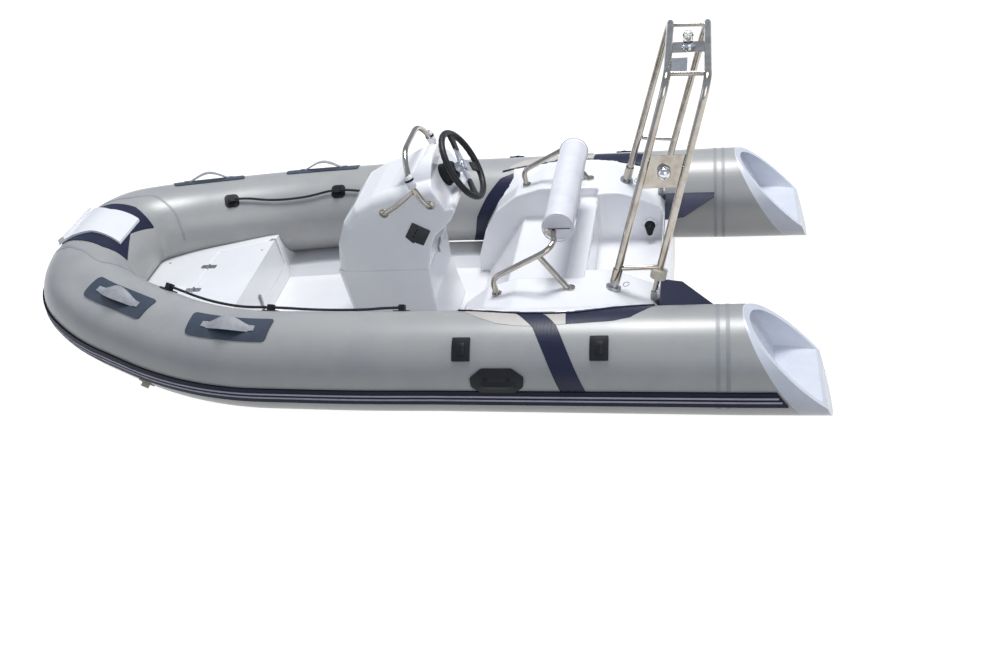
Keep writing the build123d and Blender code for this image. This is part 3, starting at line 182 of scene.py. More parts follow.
nodeLooks = {
    tubeFabric: ["collar_tube"],
    capPlastic: ["end_caps"],
    strakeRubber: ["rubbing_strake"],
    gelcoat: ["hull", "deck_liner", "transom", "foredeck", "locker_hatch", "console_base", "console_top",
              "stern_moulding", "bow_plate"],
    navyFabric: ["gussets", "bow_pad"],
    satin: ["hatch_hinge_leaves", "deck_hinge_leaves", "locker_keeper", "console_keeper",
            "console_hinge_base", "console_hinge_top", "locker_latch", "console_latch",
            "arch_feet_forward", "arch_hinges_aft", "aerial_plate", "bow_eye"],
    polished: ["grab_hoop", "seat_rail", "arch_hoop_forward", "arch_hoop_aft", "arch_rungs",
               "arch_side_panel", "light_plate"],
    blackRubber: ["rope_holders", "side_grabs", "side_fittings", "cable_boot", "helm_bezel",
                  "steering_wheel"],
    blackPlastic: ["socket_panel"],
    slateFabric: ["carry_handles_aft", "carry_handles_forward"],
    beigeRubber: ["tow_patches"],
    chrome: ["panel_ball"],
    hubMetal: ["wheel_hub"],
    ivory: ["arch_clamps", "mast_light"],
    vinyl: ["back_roll", "hoop_sleeves"],
    blackRope: ["lifeline_port", "lifeline_starboard"],
}
for material, names in nodeLooks.items():
    for name in names:
        nodes[name].data.materials.clear()
        nodes[name].data.materials.append(material)
print("materials made")


# making and finishing pieces
def only(piece):
    bpy.ops.object.select_all(action="DESELECT")
    piece.select_set(True)
    bpy.context.view_layer.objects.active = piece
    return piece


def apply(piece):
    only(piece)
    for modifier in list(piece.modifiers):
        bpy.ops.object.modifier_apply(modifier=modifier.name)
    return piece


def settle(piece):
    # the place goes into the mesh, and the object to the origin
    piece.data.transform(piece.matrix_world)
    piece.matrix_world = Matrix.Identity(4)
    return piece


def finished(piece, name, material, body, stands=(), smooth=35):
    piece.name = piece.data.name = name
    piece.data.materials.clear()
    piece.data.materials.append(material)
    if piece.type == "MESH":
        only(piece)
        bpy.ops.object.shade_smooth_by_angle(angle=math.radians(smooth))
    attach(piece, body)
    if stands:
        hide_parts(*stands)
    return piece


def joined(pieces):
    bpy.ops.object.select_all(action="DESELECT")
    for piece in pieces:
        piece.select_set(True)
    bpy.context.view_layer.objects.active = pieces[0]
    bpy.ops.object.join()
    return pieces[0]


def meshPiece(vertices, faces, edges=()):
    mesh = bpy.data.meshes.new("piece")
    mesh.from_pydata([tuple(v) for v in vertices], list(edges), faces)
    piece = bpy.data.objects.new("piece", mesh)
    bpy.context.scene.collection.objects.link(piece)
    return piece


def standing(origin, zDir, xDir=None):
    # a frame at origin, z along zDir and x as near xDir as can be
    z = Vector(zDir).normalized()
    x = Vector(xDir) if xDir else (Vector((0, 0, 1)).cross(z) if abs(z.z) < 0.9 else Vector((1, 0, 0)))
    x = (x - z * x.dot(z)).normalized()
    y = z.cross(x)
    return Matrix.Translation(Vector(origin)) @ Matrix((x, y, z)).transposed().to_4x4()


def turned(profile, frameAt, steps=40):
    # a profile of (radius, height) spun round the frame's z
    piece = meshPiece([(r, 0, h) for r, h in profile], [], [(i, i + 1) for i in range(len(profile) - 1)])
    only(piece)
    bpy.ops.object.mode_set(mode="EDIT")
    bpy.ops.mesh.select_all(action="SELECT")
    bpy.ops.mesh.spin(steps=steps, angle=math.tau, center=(0, 0, 0), axis=(0, 0, 1))
    bpy.ops.mesh.select_all(action="SELECT")
    bpy.ops.mesh.remove_doubles(threshold=0.00002)
    bpy.ops.mesh.normals_make_consistent(inside=False)
    bpy.ops.object.mode_set(mode="OBJECT")
    piece.data.transform(frameAt)
    return piece


def block(size, frameAt, bevel=0.002, segments=3, pinch=(1, 1)):
    # a cube drawn out to size, its top pinched, its edges rounded
    bpy.ops.mesh.primitive_cube_add(size=1)
    piece = bpy.context.object
    for vertex in piece.data.vertices:
        top = vertex.co.z > 0
        vertex.co = Vector((vertex.co.x * size[0] * (pinch[0] if top else 1),
                            vertex.co.y * size[1] * (pinch[1] if top else 1), (vertex.co.z + 0.5) * size[2]))
    bpy.ops.object.mode_set(mode="EDIT")
    bpy.ops.mesh.select_all(action="SELECT")
    bpy.ops.mesh.bevel(offset=bevel, segments=segments)
    bpy.ops.object.mode_set(mode="OBJECT")
    piece.data.transform(frameAt)
    return piece


def plate(outline, thickness, frameAt, bevel=0.001, segments=2):
    # a flat outline filled, drawn out and eased
    piece = meshPiece([(x, y, 0) for x, y in outline], [tuple(range(len(outline)))])
    only(piece)
    bpy.ops.object.mode_set(mode="EDIT")
    bpy.ops.mesh.select_all(action="SELECT")
    bpy.ops.mesh.extrude_region_move(TRANSFORM_OT_translate={"value": (0, 0, thickness)})
    bpy.ops.mesh.select_all(action="SELECT")
    bpy.ops.mesh.normals_make_consistent(inside=False)
    bpy.ops.object.mode_set(mode="OBJECT")
    eased = piece.modifiers.new("eased", "BEVEL")
    eased.width, eased.segments = bevel, segments
    eased.limit_method, eased.angle_limit = "ANGLE", math.radians(50)
    apply(piece)
    piece.data.transform(frameAt)
    return piece


def roundedOutline(points, radius, steps=5):
    # each corner of a closed outline becomes an arc
    points = [Vector((p[0], p[1])) for p in points]
    found = []
    for i, corner in enumerate(points):
        before = (points[i - 1] - corner).normalized()
        after = (points[(i + 1) % len(points)] - corner).normalized()
        reach = radius[i] if isinstance(radius, (list, tuple)) else radius
        for k in range(steps + 1):
            t = k / steps
            found.append(corner + before * reach * (1 - t) ** 2 + after * reach * t ** 2)
    return found


def roundCurve(points, radius, closed=False, bevelSteps=6, steps=8):
    # a smooth curve with a round section
    curve = bpy.data.curves.new("round", "CURVE")
    curve.dimensions = "3D"
    spline = curve.splines.new("NURBS")
    spline.points.add(len(points) - 1)
    for point, at in zip(spline.points, points):
        point.co = (*at, 1)
    spline.order_u = 3
    spline.use_endpoint_u = not closed
    spline.use_cyclic_u = closed
    spline.resolution_u = steps
    curve.bevel_depth, curve.bevel_resolution, curve.use_fill_caps = radius, bevelSteps, True
    piece = bpy.data.objects.new("round", curve)
    bpy.context.scene.collection.objects.link(piece)
    return piece


def bar(points, radius, closed=False, bevelSteps=6):
    # the same as a mesh, for steel and piping
    only(roundCurve(points, radius, closed, bevelSteps))
    bpy.ops.object.convert(target="MESH")
    return bpy.context.object


def walled(sheet, thickness):
    # an open sheet given its thickness outwards
    wall = sheet.modifiers.new("wall", "SOLIDIFY")
    wall.thickness, wall.offset = thickness, 1
    return apply(sheet)


# the tube's skin
tubeForm = {"radiusAft": 0.226, "radius": 0.212, "meanRadius": 0.215, "spacing": 0.746, "height": 0.235,
            "stern": -0.3, "taper": 1.24, "share": 0.48,
            "bow": [(1.59, 0.746, 0.235), (2.29, 0.706, 0.226), (2.855, 0.457, 0.293), (3.063, 0.279, 0.34)]}


def roundedPath(points, share, steps=16):
    points = [Vector(p) for p in points]
    path = [points[0]]
    for before, corner, after in zip(points, points[1:], points[2:]):
        back, ahead = (before - corner), (after - corner)
        reach = share * min(back.length, ahead.length)
        back.normalize(), ahead.normalize()
        turn = math.pi - back.angle(ahead)
        radius = reach / math.tan(turn / 2)
        centre = corner + (back + ahead).normalized() * math.hypot(radius, reach)
        first, last = corner + back * reach - centre, corner + ahead * reach - centre
        for k in range(steps + 1):
            t = k / steps
            fromFirst, fromLast = math.sin((1 - t) * turn), math.sin(t * turn)
            path.append(centre + (first * fromFirst + last * fromLast) / math.sin(turn))
    return path + [points[-1]]


portRun = [(tubeForm["taper"], tubeForm["spacing"], tubeForm["height"])] + tubeForm["bow"]
wholeRun = portRun + [(x, -y, z) for x, y, z in reversed(portRun)]
tubeAxis = [Vector((tubeForm["stern"], tubeForm["spacing"], tubeForm["height"]))]
tubeAxis += roundedPath(wholeRun, tubeForm["share"])
tubeAxis.append(Vector((tubeForm["stern"], -tubeForm["spacing"], tubeForm["height"])))
tubeStations = [tubeForm["stern"]]
for first, second in zip(tubeAxis, tubeAxis[1:]):
    tubeStations.append(tubeStations[-1] + (second - first).length)
bowStation = (tubeStations[-1] + tubeForm["stern"]) / 2
degreeArc = 0.00375  # metres along the skin for one degree round it


def axisAt(station):
    for i in range(1, len(tubeAxis)):
        if station <= tubeStations[i] or i == len(tubeAxis) - 1:
            span = tubeStations[i] - tubeStations[i - 1] or 1
            return tubeAxis[i - 1].lerp(tubeAxis[i], (station - tubeStations[i - 1]) / span)


def skinFrame(station, angle, lift=0.0):
    # a frame on the tube's skin: x along the tube, z off it; angle 0 is outboard and 90 up
    centre = axisAt(station)
    along = (axisAt(station + 0.012) - axisAt(station - 0.012)).normalized()
    outboard = Vector((-along.y, along.x, 0)).normalized()
    upward = along.cross(outboard)
    upward = upward if upward.z > 0 else -upward
    shrink = min(max(centre.x, 0), tubeForm["taper"]) / tubeForm["taper"]
    radius = tubeForm["radiusAft"] + (tubeForm["radius"] - tubeForm["radiusAft"]) * shrink
    turn = math.radians(angle)
    normal = outboard * math.cos(turn) + upward * math.sin(turn)
    return standing(centre + normal * (radius + lift), normal, along)


def onSkin(station, angle, lift=0.0):
    return skinFrame(station, angle, lift).translation


def stationOf(x):
    # the station of the port axis at x
    low, high = tubeForm["stern"], bowStation
    for _ in range(30):
        middle = (low + high) / 2
        low, high = (middle, high) if axisAt(middle).x < x else (low, middle)
    return low


def toStarboard(piece):
    # a copy mirrored about the centreline, its faces turned back outwards
    copy = piece.copy()
    copy.data = piece.data.copy()
    bpy.context.scene.collection.objects.link(copy)
    copy.data.transform(Matrix.Diagonal((1, -1, 1, 1)))
    copy.data.flip_normals()
    return copy


def skinPatch(outline, lift, thickness, cell=0.014, dome=0.0):
    # an outline of (station, degrees) laid on the skin as a thin sheet with thickness
    arc = math.radians(1) * tubeForm["meanRadius"]
    piece = meshPiece([(s, a * arc, 0) for s, a in outline], [tuple(range(len(outline)))])
    only(piece)
    lows = [min(v.co[k] for v in piece.data.vertices) for k in (0, 1)]
    highs = [max(v.co[k] for v in piece.data.vertices) for k in (0, 1)]
    bpy.ops.object.mode_set(mode="EDIT")
    for k in (0, 1):
        count = max(int((highs[k] - lows[k]) / cell), 1)
        for i in range(1, count):
            bpy.ops.mesh.select_all(action="SELECT")
            cut = [0, 0, 0]
            cut[k] = lows[k] + (highs[k] - lows[k]) * i / count
            bpy.ops.mesh.bisect(plane_co=cut, plane_no=(1 - k, k, 0))
    bpy.ops.object.mode_set(mode="OBJECT")
    middle = [(a + b) / 2 for a, b in zip(lows, highs)]
    half = [max((b - a) / 2, 0.001) for a, b in zip(lows, highs)]
    for vertex in piece.data.vertices:
        lengthways = max(0, 1 - ((vertex.co.x - middle[0]) / half[0]) ** 4)
        crossways = max(0, 1 - ((vertex.co.y - middle[1]) / half[1]) ** 4)
        rise = dome * lengthways * crossways
        vertex.co = onSkin(vertex.co.x, vertex.co.y / arc, lift + rise)
    face = piece.data.polygons[0]
    outward = face.center - axisAt(stationOf(min(face.center.x, 3.05)) if face.center.y > 0 else bowStation)
    if face.normal.dot(outward) < 0:
        piece.data.flip_normals()
    return walled(piece, thickness)


def skinLine(points, lift, radius):
    return bar([onSkin(s, a, lift) for s, a in points], radius, bevelSteps=4)


def rounded(outline, radius):
    # the corners of an outline of (station, degrees) rounded
    return [(p.x, p.y / degreeArc) for p in roundedOutline([(s, a * degreeArc) for s, a in outline], radius)]


print("skin ready")

# camera
cameraForm = {"place": (0.1165, 4.7523, 3.0117), "yaw": 0.2115, "pitch": 0.5725, "roll": -0.125,
              "lens": 42.52}
yaw, pitch, roll = (cameraForm[k] for k in ("yaw", "pitch", "roll"))
level = Vector((math.sin(yaw), -math.cos(yaw), 0))
right = level.cross(Vector((0, 0, 1))).normalized()
upward = right.cross(level)
forward = level * math.cos(pitch) - upward * math.sin(pitch)
raised = right.cross(forward)
cameraRight = right * math.cos(roll) + raised * math.sin(roll)
cameraUp = raised * math.cos(roll) - right * math.sin(roll)
bpy.ops.object.camera_add()
camera = bpy.context.object
camera.matrix_world = Matrix.Translation(Vector(cameraForm["place"])) @ Matrix(
    (cameraRight, cameraUp, -forward)).transposed().to_4x4()
camera.data.lens, camera.data.sensor_width = cameraForm["lens"], 36
camera.data.clip_start, camera.data.clip_end = 0.05, 200
bpy.context.scene.camera = camera
print("camera set")

# lifelines
lifeline = {"radius": 0.006, "length": 1.15, "points": [
    (2.542, 0.43, 0.4377), (2.4783, 0.4581, 0.4302), (2.3765, 0.4821, 0.401), (2.2731, 0.5093, 0.3886),
    (2.1612, 0.5387, 0.388), (2.0637, 0.5664, 0.4028), (1.974, 0.5735, 0.4033), (1.8396, 0.567, 0.3872),
    (1.7181, 0.5701, 0.3847), (1.5871, 0.5801, 0.391), (1.49, 0.5951, 0.4086), (1.42, 0.5951, 0.4086)]}
for side, word in ((1, "port"), (-1, "starboard")):
    points = [(x, side * y, z) for x, y, z in lifeline["points"]]
    rope = roundCurve(points, lifeline["radius"], bevelSteps=5, steps=12)
    finished(rope, "rope_" + word, blackRope, "boat", ["lifeline_" + word])
print("lifelines hung")


# mouldings with rounded edges
def softened(node, name, voxel, passes, material=gelcoat, body="boat"):
    # a copy of the moulding, remeshed so that every edge gets a moulder's radius
    piece = nodes[node].copy()
    piece.data = nodes[node].data.copy()
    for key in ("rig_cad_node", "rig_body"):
        if key in piece:
            del piece[key]
    bpy.context.scene.collection.objects.link(piece)
    piece.parent = None
    only(piece)
    bpy.ops.object.mode_set(mode="EDIT")
    bpy.ops.mesh.select_all(action="SELECT")
    bpy.ops.mesh.remove_doubles(threshold=0.00005)
    bpy.ops.object.mode_set(mode="OBJECT")
    grid = piece.modifiers.new("grid", "REMESH")
    grid.mode, grid.voxel_size, grid.use_smooth_shade = "VOXEL", voxel, True
    easing = piece.modifiers.new("easing", "SMOOTH")
    easing.factor, easing.iterations = 0.5, passes
    piece.modifiers.new("lighter", "DECIMATE").ratio = 0.4
    apply(piece)
    return finished(piece, name, material, body, [node], smooth=60)


softMouldings = [("stern_moulding", "sternShell", 0.007, 6, "boat"),
                 ("console_top", "consoleShell", 0.0045, 5, "console_upper"),
                 ("console_base", "consoleFoot", 0.0045, 4, "boat"),
                 ("foredeck", "foredeckShell", 0.005, 3, "boat")]
for node, name, voxel, passes, body in softMouldings:
    softened(node, name, voxel, passes, body=body)
    print(name, "moulded")

# tube: seams, bands, strake stripes
bandForm = {"lift": 0.0012, "thickness": 0.0009,
            "forward": [(1.347, 238), (1.315, 205), (1.293, 177), (1.26, 160), (1.233, 147.6), (1.167, 124),
                        (1.059, 111.5), (0.966, 105.7), (0.906, 97.3), (0.828, 72.7), (0.77, 37),
                        (0.716, 0.5)],
            "aft": [(0.614, 0.5), (0.672, 37), (0.732, 75), (0.78, 92), (0.85, 102), (0.95, 114),
                    (1.06, 134), (1.13, 157), (1.19, 180), (1.24, 210), (1.26, 238)]}
skirtForm = {"outer": [(1.128, 104.9), (1.06, 90), (0.981, 79.3), (0.9, 75.5), (0.817, 73.8), (0.694, 76.5),
                       (0.604, 78.3), (0.510, 79.9), (0.437, 85.2), (0.38, 100), (0.345, 116)],
             "inner": [(0.345, 130), (0.4, 123), (0.507, 115), (0.6, 107), (0.702, 101), (0.867, 102),
                       (0.975, 107), (1.11, 116)],
             "split": 0.655}


def ribbon(first, second, lift, thickness, rows=60, columns=24):
    # a sheet between two lines on the skin, each a list of (station, degrees)
    def along(line, t):
        reach = [0.0]
        for a, b in zip(line, line[1:]):
            reach.append(reach[-1] + math.hypot(b[0] - a[0], (b[1] - a[1]) * degreeArc))
        target = t * reach[-1]
        for i in range(1, len(line)):
            if target <= reach[i] or i == len(line) - 1:
                k = (target - reach[i - 1]) / (reach[i] - reach[i - 1])
                return [line[i - 1][j] + (line[i][j] - line[i - 1][j]) * k for j in (0, 1)]

    vertices, faces = [], []
    for i in range(rows + 1):
        a, b = along(first, i / rows), along(second, i / rows)
        for j in range(columns + 1):
            k = j / columns
            vertices.append(onSkin(a[0] + (b[0] - a[0]) * k, a[1] + (b[1] - a[1]) * k, lift))
    width = columns + 1
    for i in range(rows):
        for j in range(columns):
            faces.append((i * width + j, i * width + j + 1, (i + 1) * width + j + 1, (i + 1) * width + j))
    piece = meshPiece(vertices, faces)
    centre = axisAt((first[len(first) // 2][0] + second[len(second) // 2][0]) / 2)
    middle = piece.data.polygons[len(faces) // 2]
    if middle.normal.dot(middle.center - centre) < 0:
        piece.data.flip_normals()
    return walled(piece, thickness)


def pair(piece):
    return joined([piece, toStarboard(piece)])


finished(pair(ribbon(bandForm["forward"], list(reversed(bandForm["aft"])), bandForm["lift"],
                     bandForm["thickness"])),
         "navyBands", navyFabric, "boat")
skirtInner = list(reversed(skirtForm["inner"]))
paleOuter = [p for p in skirtForm["outer"] if p[0] >= skirtForm["split"]]
navyOuter = [p for p in skirtForm["outer"] if p[0] <= 0.7]
finished(pair(ribbon(paleOuter, [p for p in skirtInner if p[0] >= 0.7], 0.0003, 0.0008, 40, 6)),
         "wingSkirts", paleFabric, "boat")
finished(pair(ribbon(navyOuter, [p for p in skirtInner if p[0] <= 0.72], 0.0004, 0.0009, 30, 6)),
         "wingSkirtsAft", navyFabric, "boat")
# a navy line along the wing's lower edge stands for the shadow gap under the wing's lip: painted shade
wingEdge = [(1.16, 113), (1.106, 109), (0.975, 101), (0.867, 95.8), (0.702, 94.8), (0.6, 100), (0.507, 108.5),
            (0.4, 117), (0.345, 122)]
finished(pair(skinLine(wingEdge, 0.0035, 0.0035)), "wingEdgeShadowLine", navyFabric, "boat")

seamForm = {"stations": [0.054, 0.093], "width": 0.016, "lift": 0.0002, "thickness": 0.0009,
            "bow": [(3.29, 0), (3.27, 46), (3.234, 78), (3.174, 98), (3.054, 108), (2.98, 140), (2.95, 180)]}
half = seamForm["width"] / 2
seams = []
for station in seamForm["stations"]:
    edges = [[(station + side * half, angle) for angle in range(-25, 236, 10)] for side in (-1, 1)]
    seams.append(pair(ribbon(edges[0], edges[1], seamForm["lift"], seamForm["thickness"], 60, 2)))
edges = [[(s + side * half, a) for s, a in seamForm["bow"]] for side in (-1, 1)]
seams.append(pair(ribbon(edges[0], edges[1], seamForm["lift"], seamForm["thickness"], 60, 2)))
finished(joined(seams), "tubeSeams", tapeFabric, "boat")

stripeForm = {"angles": [(-5.5, -7.7), (-10.7, -13.0)], "lift": 0.0094, "thickness": 0.0012,
              "ends": [-0.138, -0.151], "stations": 170}
stripes = []
for (high, low), start in zip(stripeForm["angles"], stripeForm["ends"]):
    count = stripeForm["stations"]
    stations = [start + (2 * bowStation - 2 * start) * i / count for i in range(count + 1)]
    stripes.append(ribbon([(s, high) for s in stations], [(s, low) for s in stations], stripeForm["lift"],
                          stripeForm["thickness"], 400, 2))
finished(joined(stripes), "strakeStripes", stripeRubber, "boat")
print("tube dressed")

# carry handles
handleForm = {"stations": [2.137, 2.708], "angles": [72, 73], "lengths": [0.4, 0.37], "width": 0.125,
              "skinRadius": 0.216, "pad": 0.004, "strapLength": 0.25, "strapWall": 0.0035, "rise": 0.036,
              "narrow": 0.013, "swell": 0.019, "rows": 36}
for index, word in enumerate(("aft", "forward")):
    middle = stationOf(handleForm["stations"][index])
    half = handleForm["lengths"][index] / 2
    arc = math.degrees(handleForm["width"] / 2 / handleForm["skinRadius"])
    angle = handleForm["angles"][index]
    outline = rounded([(-half * 0.93, -arc), (half * 0.93, -arc), (half, arc), (-half, arc)], 0.022)
    pad = skinPatch([(middle + s, angle + a) for s, a in outline], 0.0004, handleForm["pad"], 0.012)
    finished(pair(pad), "handlePads_" + word, slateFabric, "boat", ["carry_handles_" + word])
    rows, vertices, faces = handleForm["rows"], [], []
    for i in range(rows + 1):  # the strap arches off its pad, widest in the middle, its edges turned down
        t = i / rows * 2 - 1
        rise = handleForm["rise"] * max(0, math.cos(t * 1.25 * math.pi / 2)) ** 1.4 if abs(t) < 0.8 else 0
        width = handleForm["narrow"] + handleForm["swell"] * max(0, math.cos(t * math.pi / 2)) ** 1.6
        for k in (-1, -0.5, 0, 0.5, 1):
            vertices.append(onSkin(middle + t * handleForm["strapLength"] / 2,
                                   angle + k * math.degrees(width / handleForm["skinRadius"]),
                                   0.0046 + rise - 0.004 * abs(k) * (rise > 0)))
    for i in range(rows):
        for j in range(4):
            faces.append((i * 5 + j, i * 5 + j + 1, i * 5 + j + 6, i * 5 + j + 5))
    strap = meshPiece(vertices, faces)
    if strap.data.polygons[rows * 2].normal.z < 0:
        strap.data.flip_normals()
    walled(strap, handleForm["strapWall"])
    finished(pair(strap), "handleStraps_" + word, slateStrap, "boat", smooth=60)
print("handles made")

# wheel, hub and helm boot
wheelForm = {"centre": (1.21, 0, 0.788), "tilt": 28, "radius": 0.158, "rim": 0.0148,
             "grips": 30, "gripDepth": 0.06, "spokeTurns": (57, 237, 327), "spokeThick": 0.013,
             "armThick": 0.008, "screwRing": 0.0305, "dash": 0.0997,
             "spoke": [(0.07, -0.019), (0.11, -0.02), (0.152, -0.029), (0.152, 0.029), (0.11, 0.02),
                       (0.07, 0.019)],
             "arm": [(0.0, -0.034), (0.03, -0.03), (0.088, -0.0175), (0.088, 0.0175), (0.03, 0.03),
                     (0.0, 0.034)],
             "dome": [(0, 0.014), (0.012, 0.0135), (0.02, 0.012), (0.023, 0.008), (0.024, 0.003),
                      (0.024, -0.028), (0.018, -0.03), (0.011, -0.03), (0.011, -0.059), (0, -0.059)],
             "screw": [(0, 0.003), (0.002, 0.0028), (0.0034, 0.0012), (0.0034, -0.002), (0, -0.002)],
             "boot": [(0, 0.0), (0.054, 0.0), (0.054, 0.006), (0.0505, 0.008), (0.0505, 0.02),
                      (0.049, 0.022), (0.0495, 0.03), (0.048, 0.0335), (0.0485, 0.042), (0.046, 0.05),
                      (0.04, 0.0575), (0.03, 0.0596), (0.0125, 0.0598), (0.0125, 0.05), (0, 0.05)]}
tilt = math.radians(wheelForm["tilt"])
wheelAxis = Vector((-math.cos(tilt), 0, math.sin(tilt)))
wheelFrame = standing(wheelForm["centre"], wheelAxis, (0, -1, 0))
bpy.ops.mesh.primitive_torus_add(major_radius=wheelForm["radius"], minor_radius=wheelForm["rim"],
                                 major_segments=96, minor_segments=20)
rim = bpy.context.object
for vertex in rim.data.vertices:  # finger grips under the rim
    turn = math.atan2(vertex.co.y, vertex.co.x)
    out = Vector((vertex.co.x, vertex.co.y, 0)).normalized() * wheelForm["radius"]
    wave = 0.5 + 0.5 * math.cos(turn * wheelForm["grips"])
    swell = 1 - wheelForm["gripDepth"] * wave * (vertex.co.z < 0)
    vertex.co = out + (vertex.co - out) * swell
rim.data.transform(wheelFrame)
spokes, arms = [], []
for turn in wheelForm["spokeTurns"]:
    spin = wheelFrame @ Matrix.Rotation(math.radians(turn), 4, "Z")
    spokes.append(plate(roundedOutline(wheelForm["spoke"], 0.006), wheelForm["spokeThick"],
                        spin @ Matrix.Translation((0, 0, -wheelForm["spokeThick"] / 2)), 0.004, 3))
    arms.append(plate(roundedOutline(wheelForm["arm"], 0.004), wheelForm["armThick"],
                      spin @ Matrix.Translation((0, 0, -wheelForm["armThick"] / 2)), 0.0025, 3))
finished(joined([rim] + spokes), "wheelRim", softRubber, "wheel", ["steering_wheel"],
         smooth=50)
dome = turned(wheelForm["dome"], wheelFrame)
screws = []
for turn in range(30, 390, 60):
    spin = wheelFrame @ Matrix.Rotation(math.radians(turn), 4, "Z")
    screws.append(turned(wheelForm["screw"],
                         spin @ Matrix.Translation((wheelForm["screwRing"], 0, 0.0035)), 12))
finished(joined(arms + [dome] + screws), "wheelStar", hubMetal, "wheel", ["wheel_hub"],
         smooth=30)
dashFrame = standing(Vector(wheelForm["centre"]) - wheelAxis * wheelForm["dash"], wheelAxis, (0, -1, 0))
finished(turned(wheelForm["boot"], dashFrame, 56), "helmBoot", blackRubber, "console_upper",
         ["helm_bezel"])
print("wheel made")

# back roll
rollForm = {"radius": 0.0655, "half": 0.377, "x": 0.752, "z": 0.661, "pressure": 3.0, "cap": 0.004,
            "piping": 0.0028, "seam": 0.0016, "seamAngle": -35, "slit": (0.1, 0.0035, 0.0022),
            "knob": [(0, 0.016), (0.006, 0.0155), (0.0105, 0.012), (0.012, 0.006), (0.0105, 0.001),
                     (0.008, -0.003), (0, -0.003)]}
bpy.ops.mesh.primitive_cylinder_add(vertices=64, radius=rollForm["radius"], depth=rollForm["half"] * 2,
                                    location=(rollForm["x"], 0, rollForm["z"]), rotation=(math.pi / 2, 0, 0))
roll = settle(bpy.context.object)
only(roll)
bpy.ops.object.mode_set(mode="EDIT")
bpy.ops.mesh.select_all(action="SELECT")
bpy.ops.mesh.bevel(offset=0.01, segments=4)
bpy.ops.object.mode_set(mode="OBJECT")
remesh = roll.modifiers.new("grid", "REMESH")
remesh.mode, remesh.voxel_size = "VOXEL", 0.006
apply(roll)
rest = [v.co.copy() for v in roll.data.vertices]
cloth = roll.modifiers.new("swell", "CLOTH")
cloth.settings.use_pressure = True
cloth.settings.uniform_pressure_force = rollForm["pressure"]
cloth.settings.effector_weights.gravity = 0
cloth.settings.quality = 5
for step in range(1, 13):
    bpy.context.scene.frame_set(step)
apply(roll)
bpy.context.scene.frame_set(1)
for vertex, was in zip(roll.data.vertices, rest):  # no point swells by more than the cap
    move = vertex.co - was
    vertex.co = was + (move * (rollForm["cap"] / move.length) if move.length > rollForm["cap"] else move)
roll.modifiers.new("easing", "SMOOTH").iterations = 4
apply(roll)
finished(roll, "backRoll", vinyl, "boat", ["back_roll"], smooth=80)


def aroundRoll(angle, y, clear):
    # a point round the roll's axis, so far clear of its cover
    reach, turn = rollForm["radius"] + clear, math.radians(angle)
    return (rollForm["x"] + reach * math.cos(turn), y, rollForm["z"] + reach * math.sin(turn))


trims = []
for side in (1, -1):
    ring = [aroundRoll(angle, side * (rollForm["half"] + 0.0035), 0.001) for angle in range(0, 360, 15)]
    trims.append(bar(ring, rollForm["piping"], closed=True, bevelSteps=3))
seam = [aroundRoll(rollForm["seamAngle"], y, 0.0037) for y in (-0.376, -0.2, 0, 0.2, 0.376)]
trims.append(bar(seam, rollForm["seam"], bevelSteps=3))
finished(joined(trims), "rollPiping", vinyl, "boat", smooth=60)
slits, knobs = [], []
for side in (1, -1):
    end = (rollForm["x"] - 0.004, side * (rollForm["half"] + 0.0042), rollForm["z"] - 0.004)
    slits.append(block(rollForm["slit"], standing(end, (0, side, 0), (1, 0, 0)), 0.001))
    end = (rollForm["x"] + 0.047, side * (rollForm["half"] + 0.005), rollForm["z"] - 0.012)
    knobs.append(turned(rollForm["knob"], standing(end, (0, side, 0)), 28))
# the roll's end slits are dark blocks in the gap shade: painted shade inside the slits
finished(joined(slits), "rollEndSlits", gapShadePaint, "boat")
finished(joined(knobs), "rollKnobs", ivory, "boat", smooth=60)
print("back roll stuffed")

# grab hoop
hoopForm = {"waist": (1.381, 0.236, 0.768), "top": (1.432, 0.228, 0.925), "radius": 0.0125, "leg": 0.009,
            "feet": [(1.545, 0.668), (1.33, 0.701)], "side": 0.22, "share": 0.9,
            "flange": [(0, 0.006), (0.014, 0.006), (0.02, 0.0045), (0.022, 0.0015), (0.022, 0), (0, 0)],
            "sleeve": [(0.012, 0.03), (0.0165, 0.03), (0.0198, 0.034), (0.0202, 0.06), (0.0185, 0.084),
                       (0.015, 0.091), (0.012, 0.091)],
            "band": [(0.012, 0.064), (0.0204, 0.064), (0.0208, 0.066), (0.0208, 0.072), (0.0204, 0.074),
                     (0.012, 0.074)]}
hoopPath = [hoopForm["waist"], hoopForm["top"]]
hoopPath += [(x, -y, z) for x, y, z in reversed(hoopPath)]
hoopBars = [bar(roundedPath(hoopPath, hoopForm["share"], 12), hoopForm["radius"], bevelSteps=7)]
for side in (1, -1):
    waist = Vector((hoopForm["waist"][0], side * hoopForm["waist"][1], hoopForm["waist"][2]))
    for footX, footZ in hoopForm["feet"]:
        foot = Vector((footX, side * (hoopForm["side"] + 0.002), footZ))
        knee = foot.lerp(waist, 0.12) + Vector((0, side * 0.014, 0))
        leg = [waist + Vector((0, 0, 0.02)), waist.lerp(knee, 0.5), knee, foot.lerp(knee, 0.5), foot]
        hoopBars.append(bar(leg, hoopForm["leg"], bevelSteps=5))
        hoopBars.append(turned(hoopForm["flange"],
                               standing((footX, side * hoopForm["side"], footZ), (0, side, 0)), 28))
finished(joined(hoopBars), "grabHoop", polished, "console_upper", ["grab_hoop"], smooth=50)
rise = (Vector(hoopForm["top"]) - Vector(hoopForm["waist"])).normalized()
sleeves, bands = [], []
for side in (1, -1):
    along = Vector((rise.x, side * rise.y, rise.z))
    waist = Vector((hoopForm["waist"][0], side * hoopForm["waist"][1], hoopForm["waist"][2]))
    sleeves.append(turned(hoopForm["sleeve"], standing(waist, along), 32))
    bands.append(turned(hoopForm["band"], standing(waist, along), 32))
finished(joined(sleeves), "hoopSleeves", gelcoat, "console_upper", ["hoop_sleeves"], smooth=50)
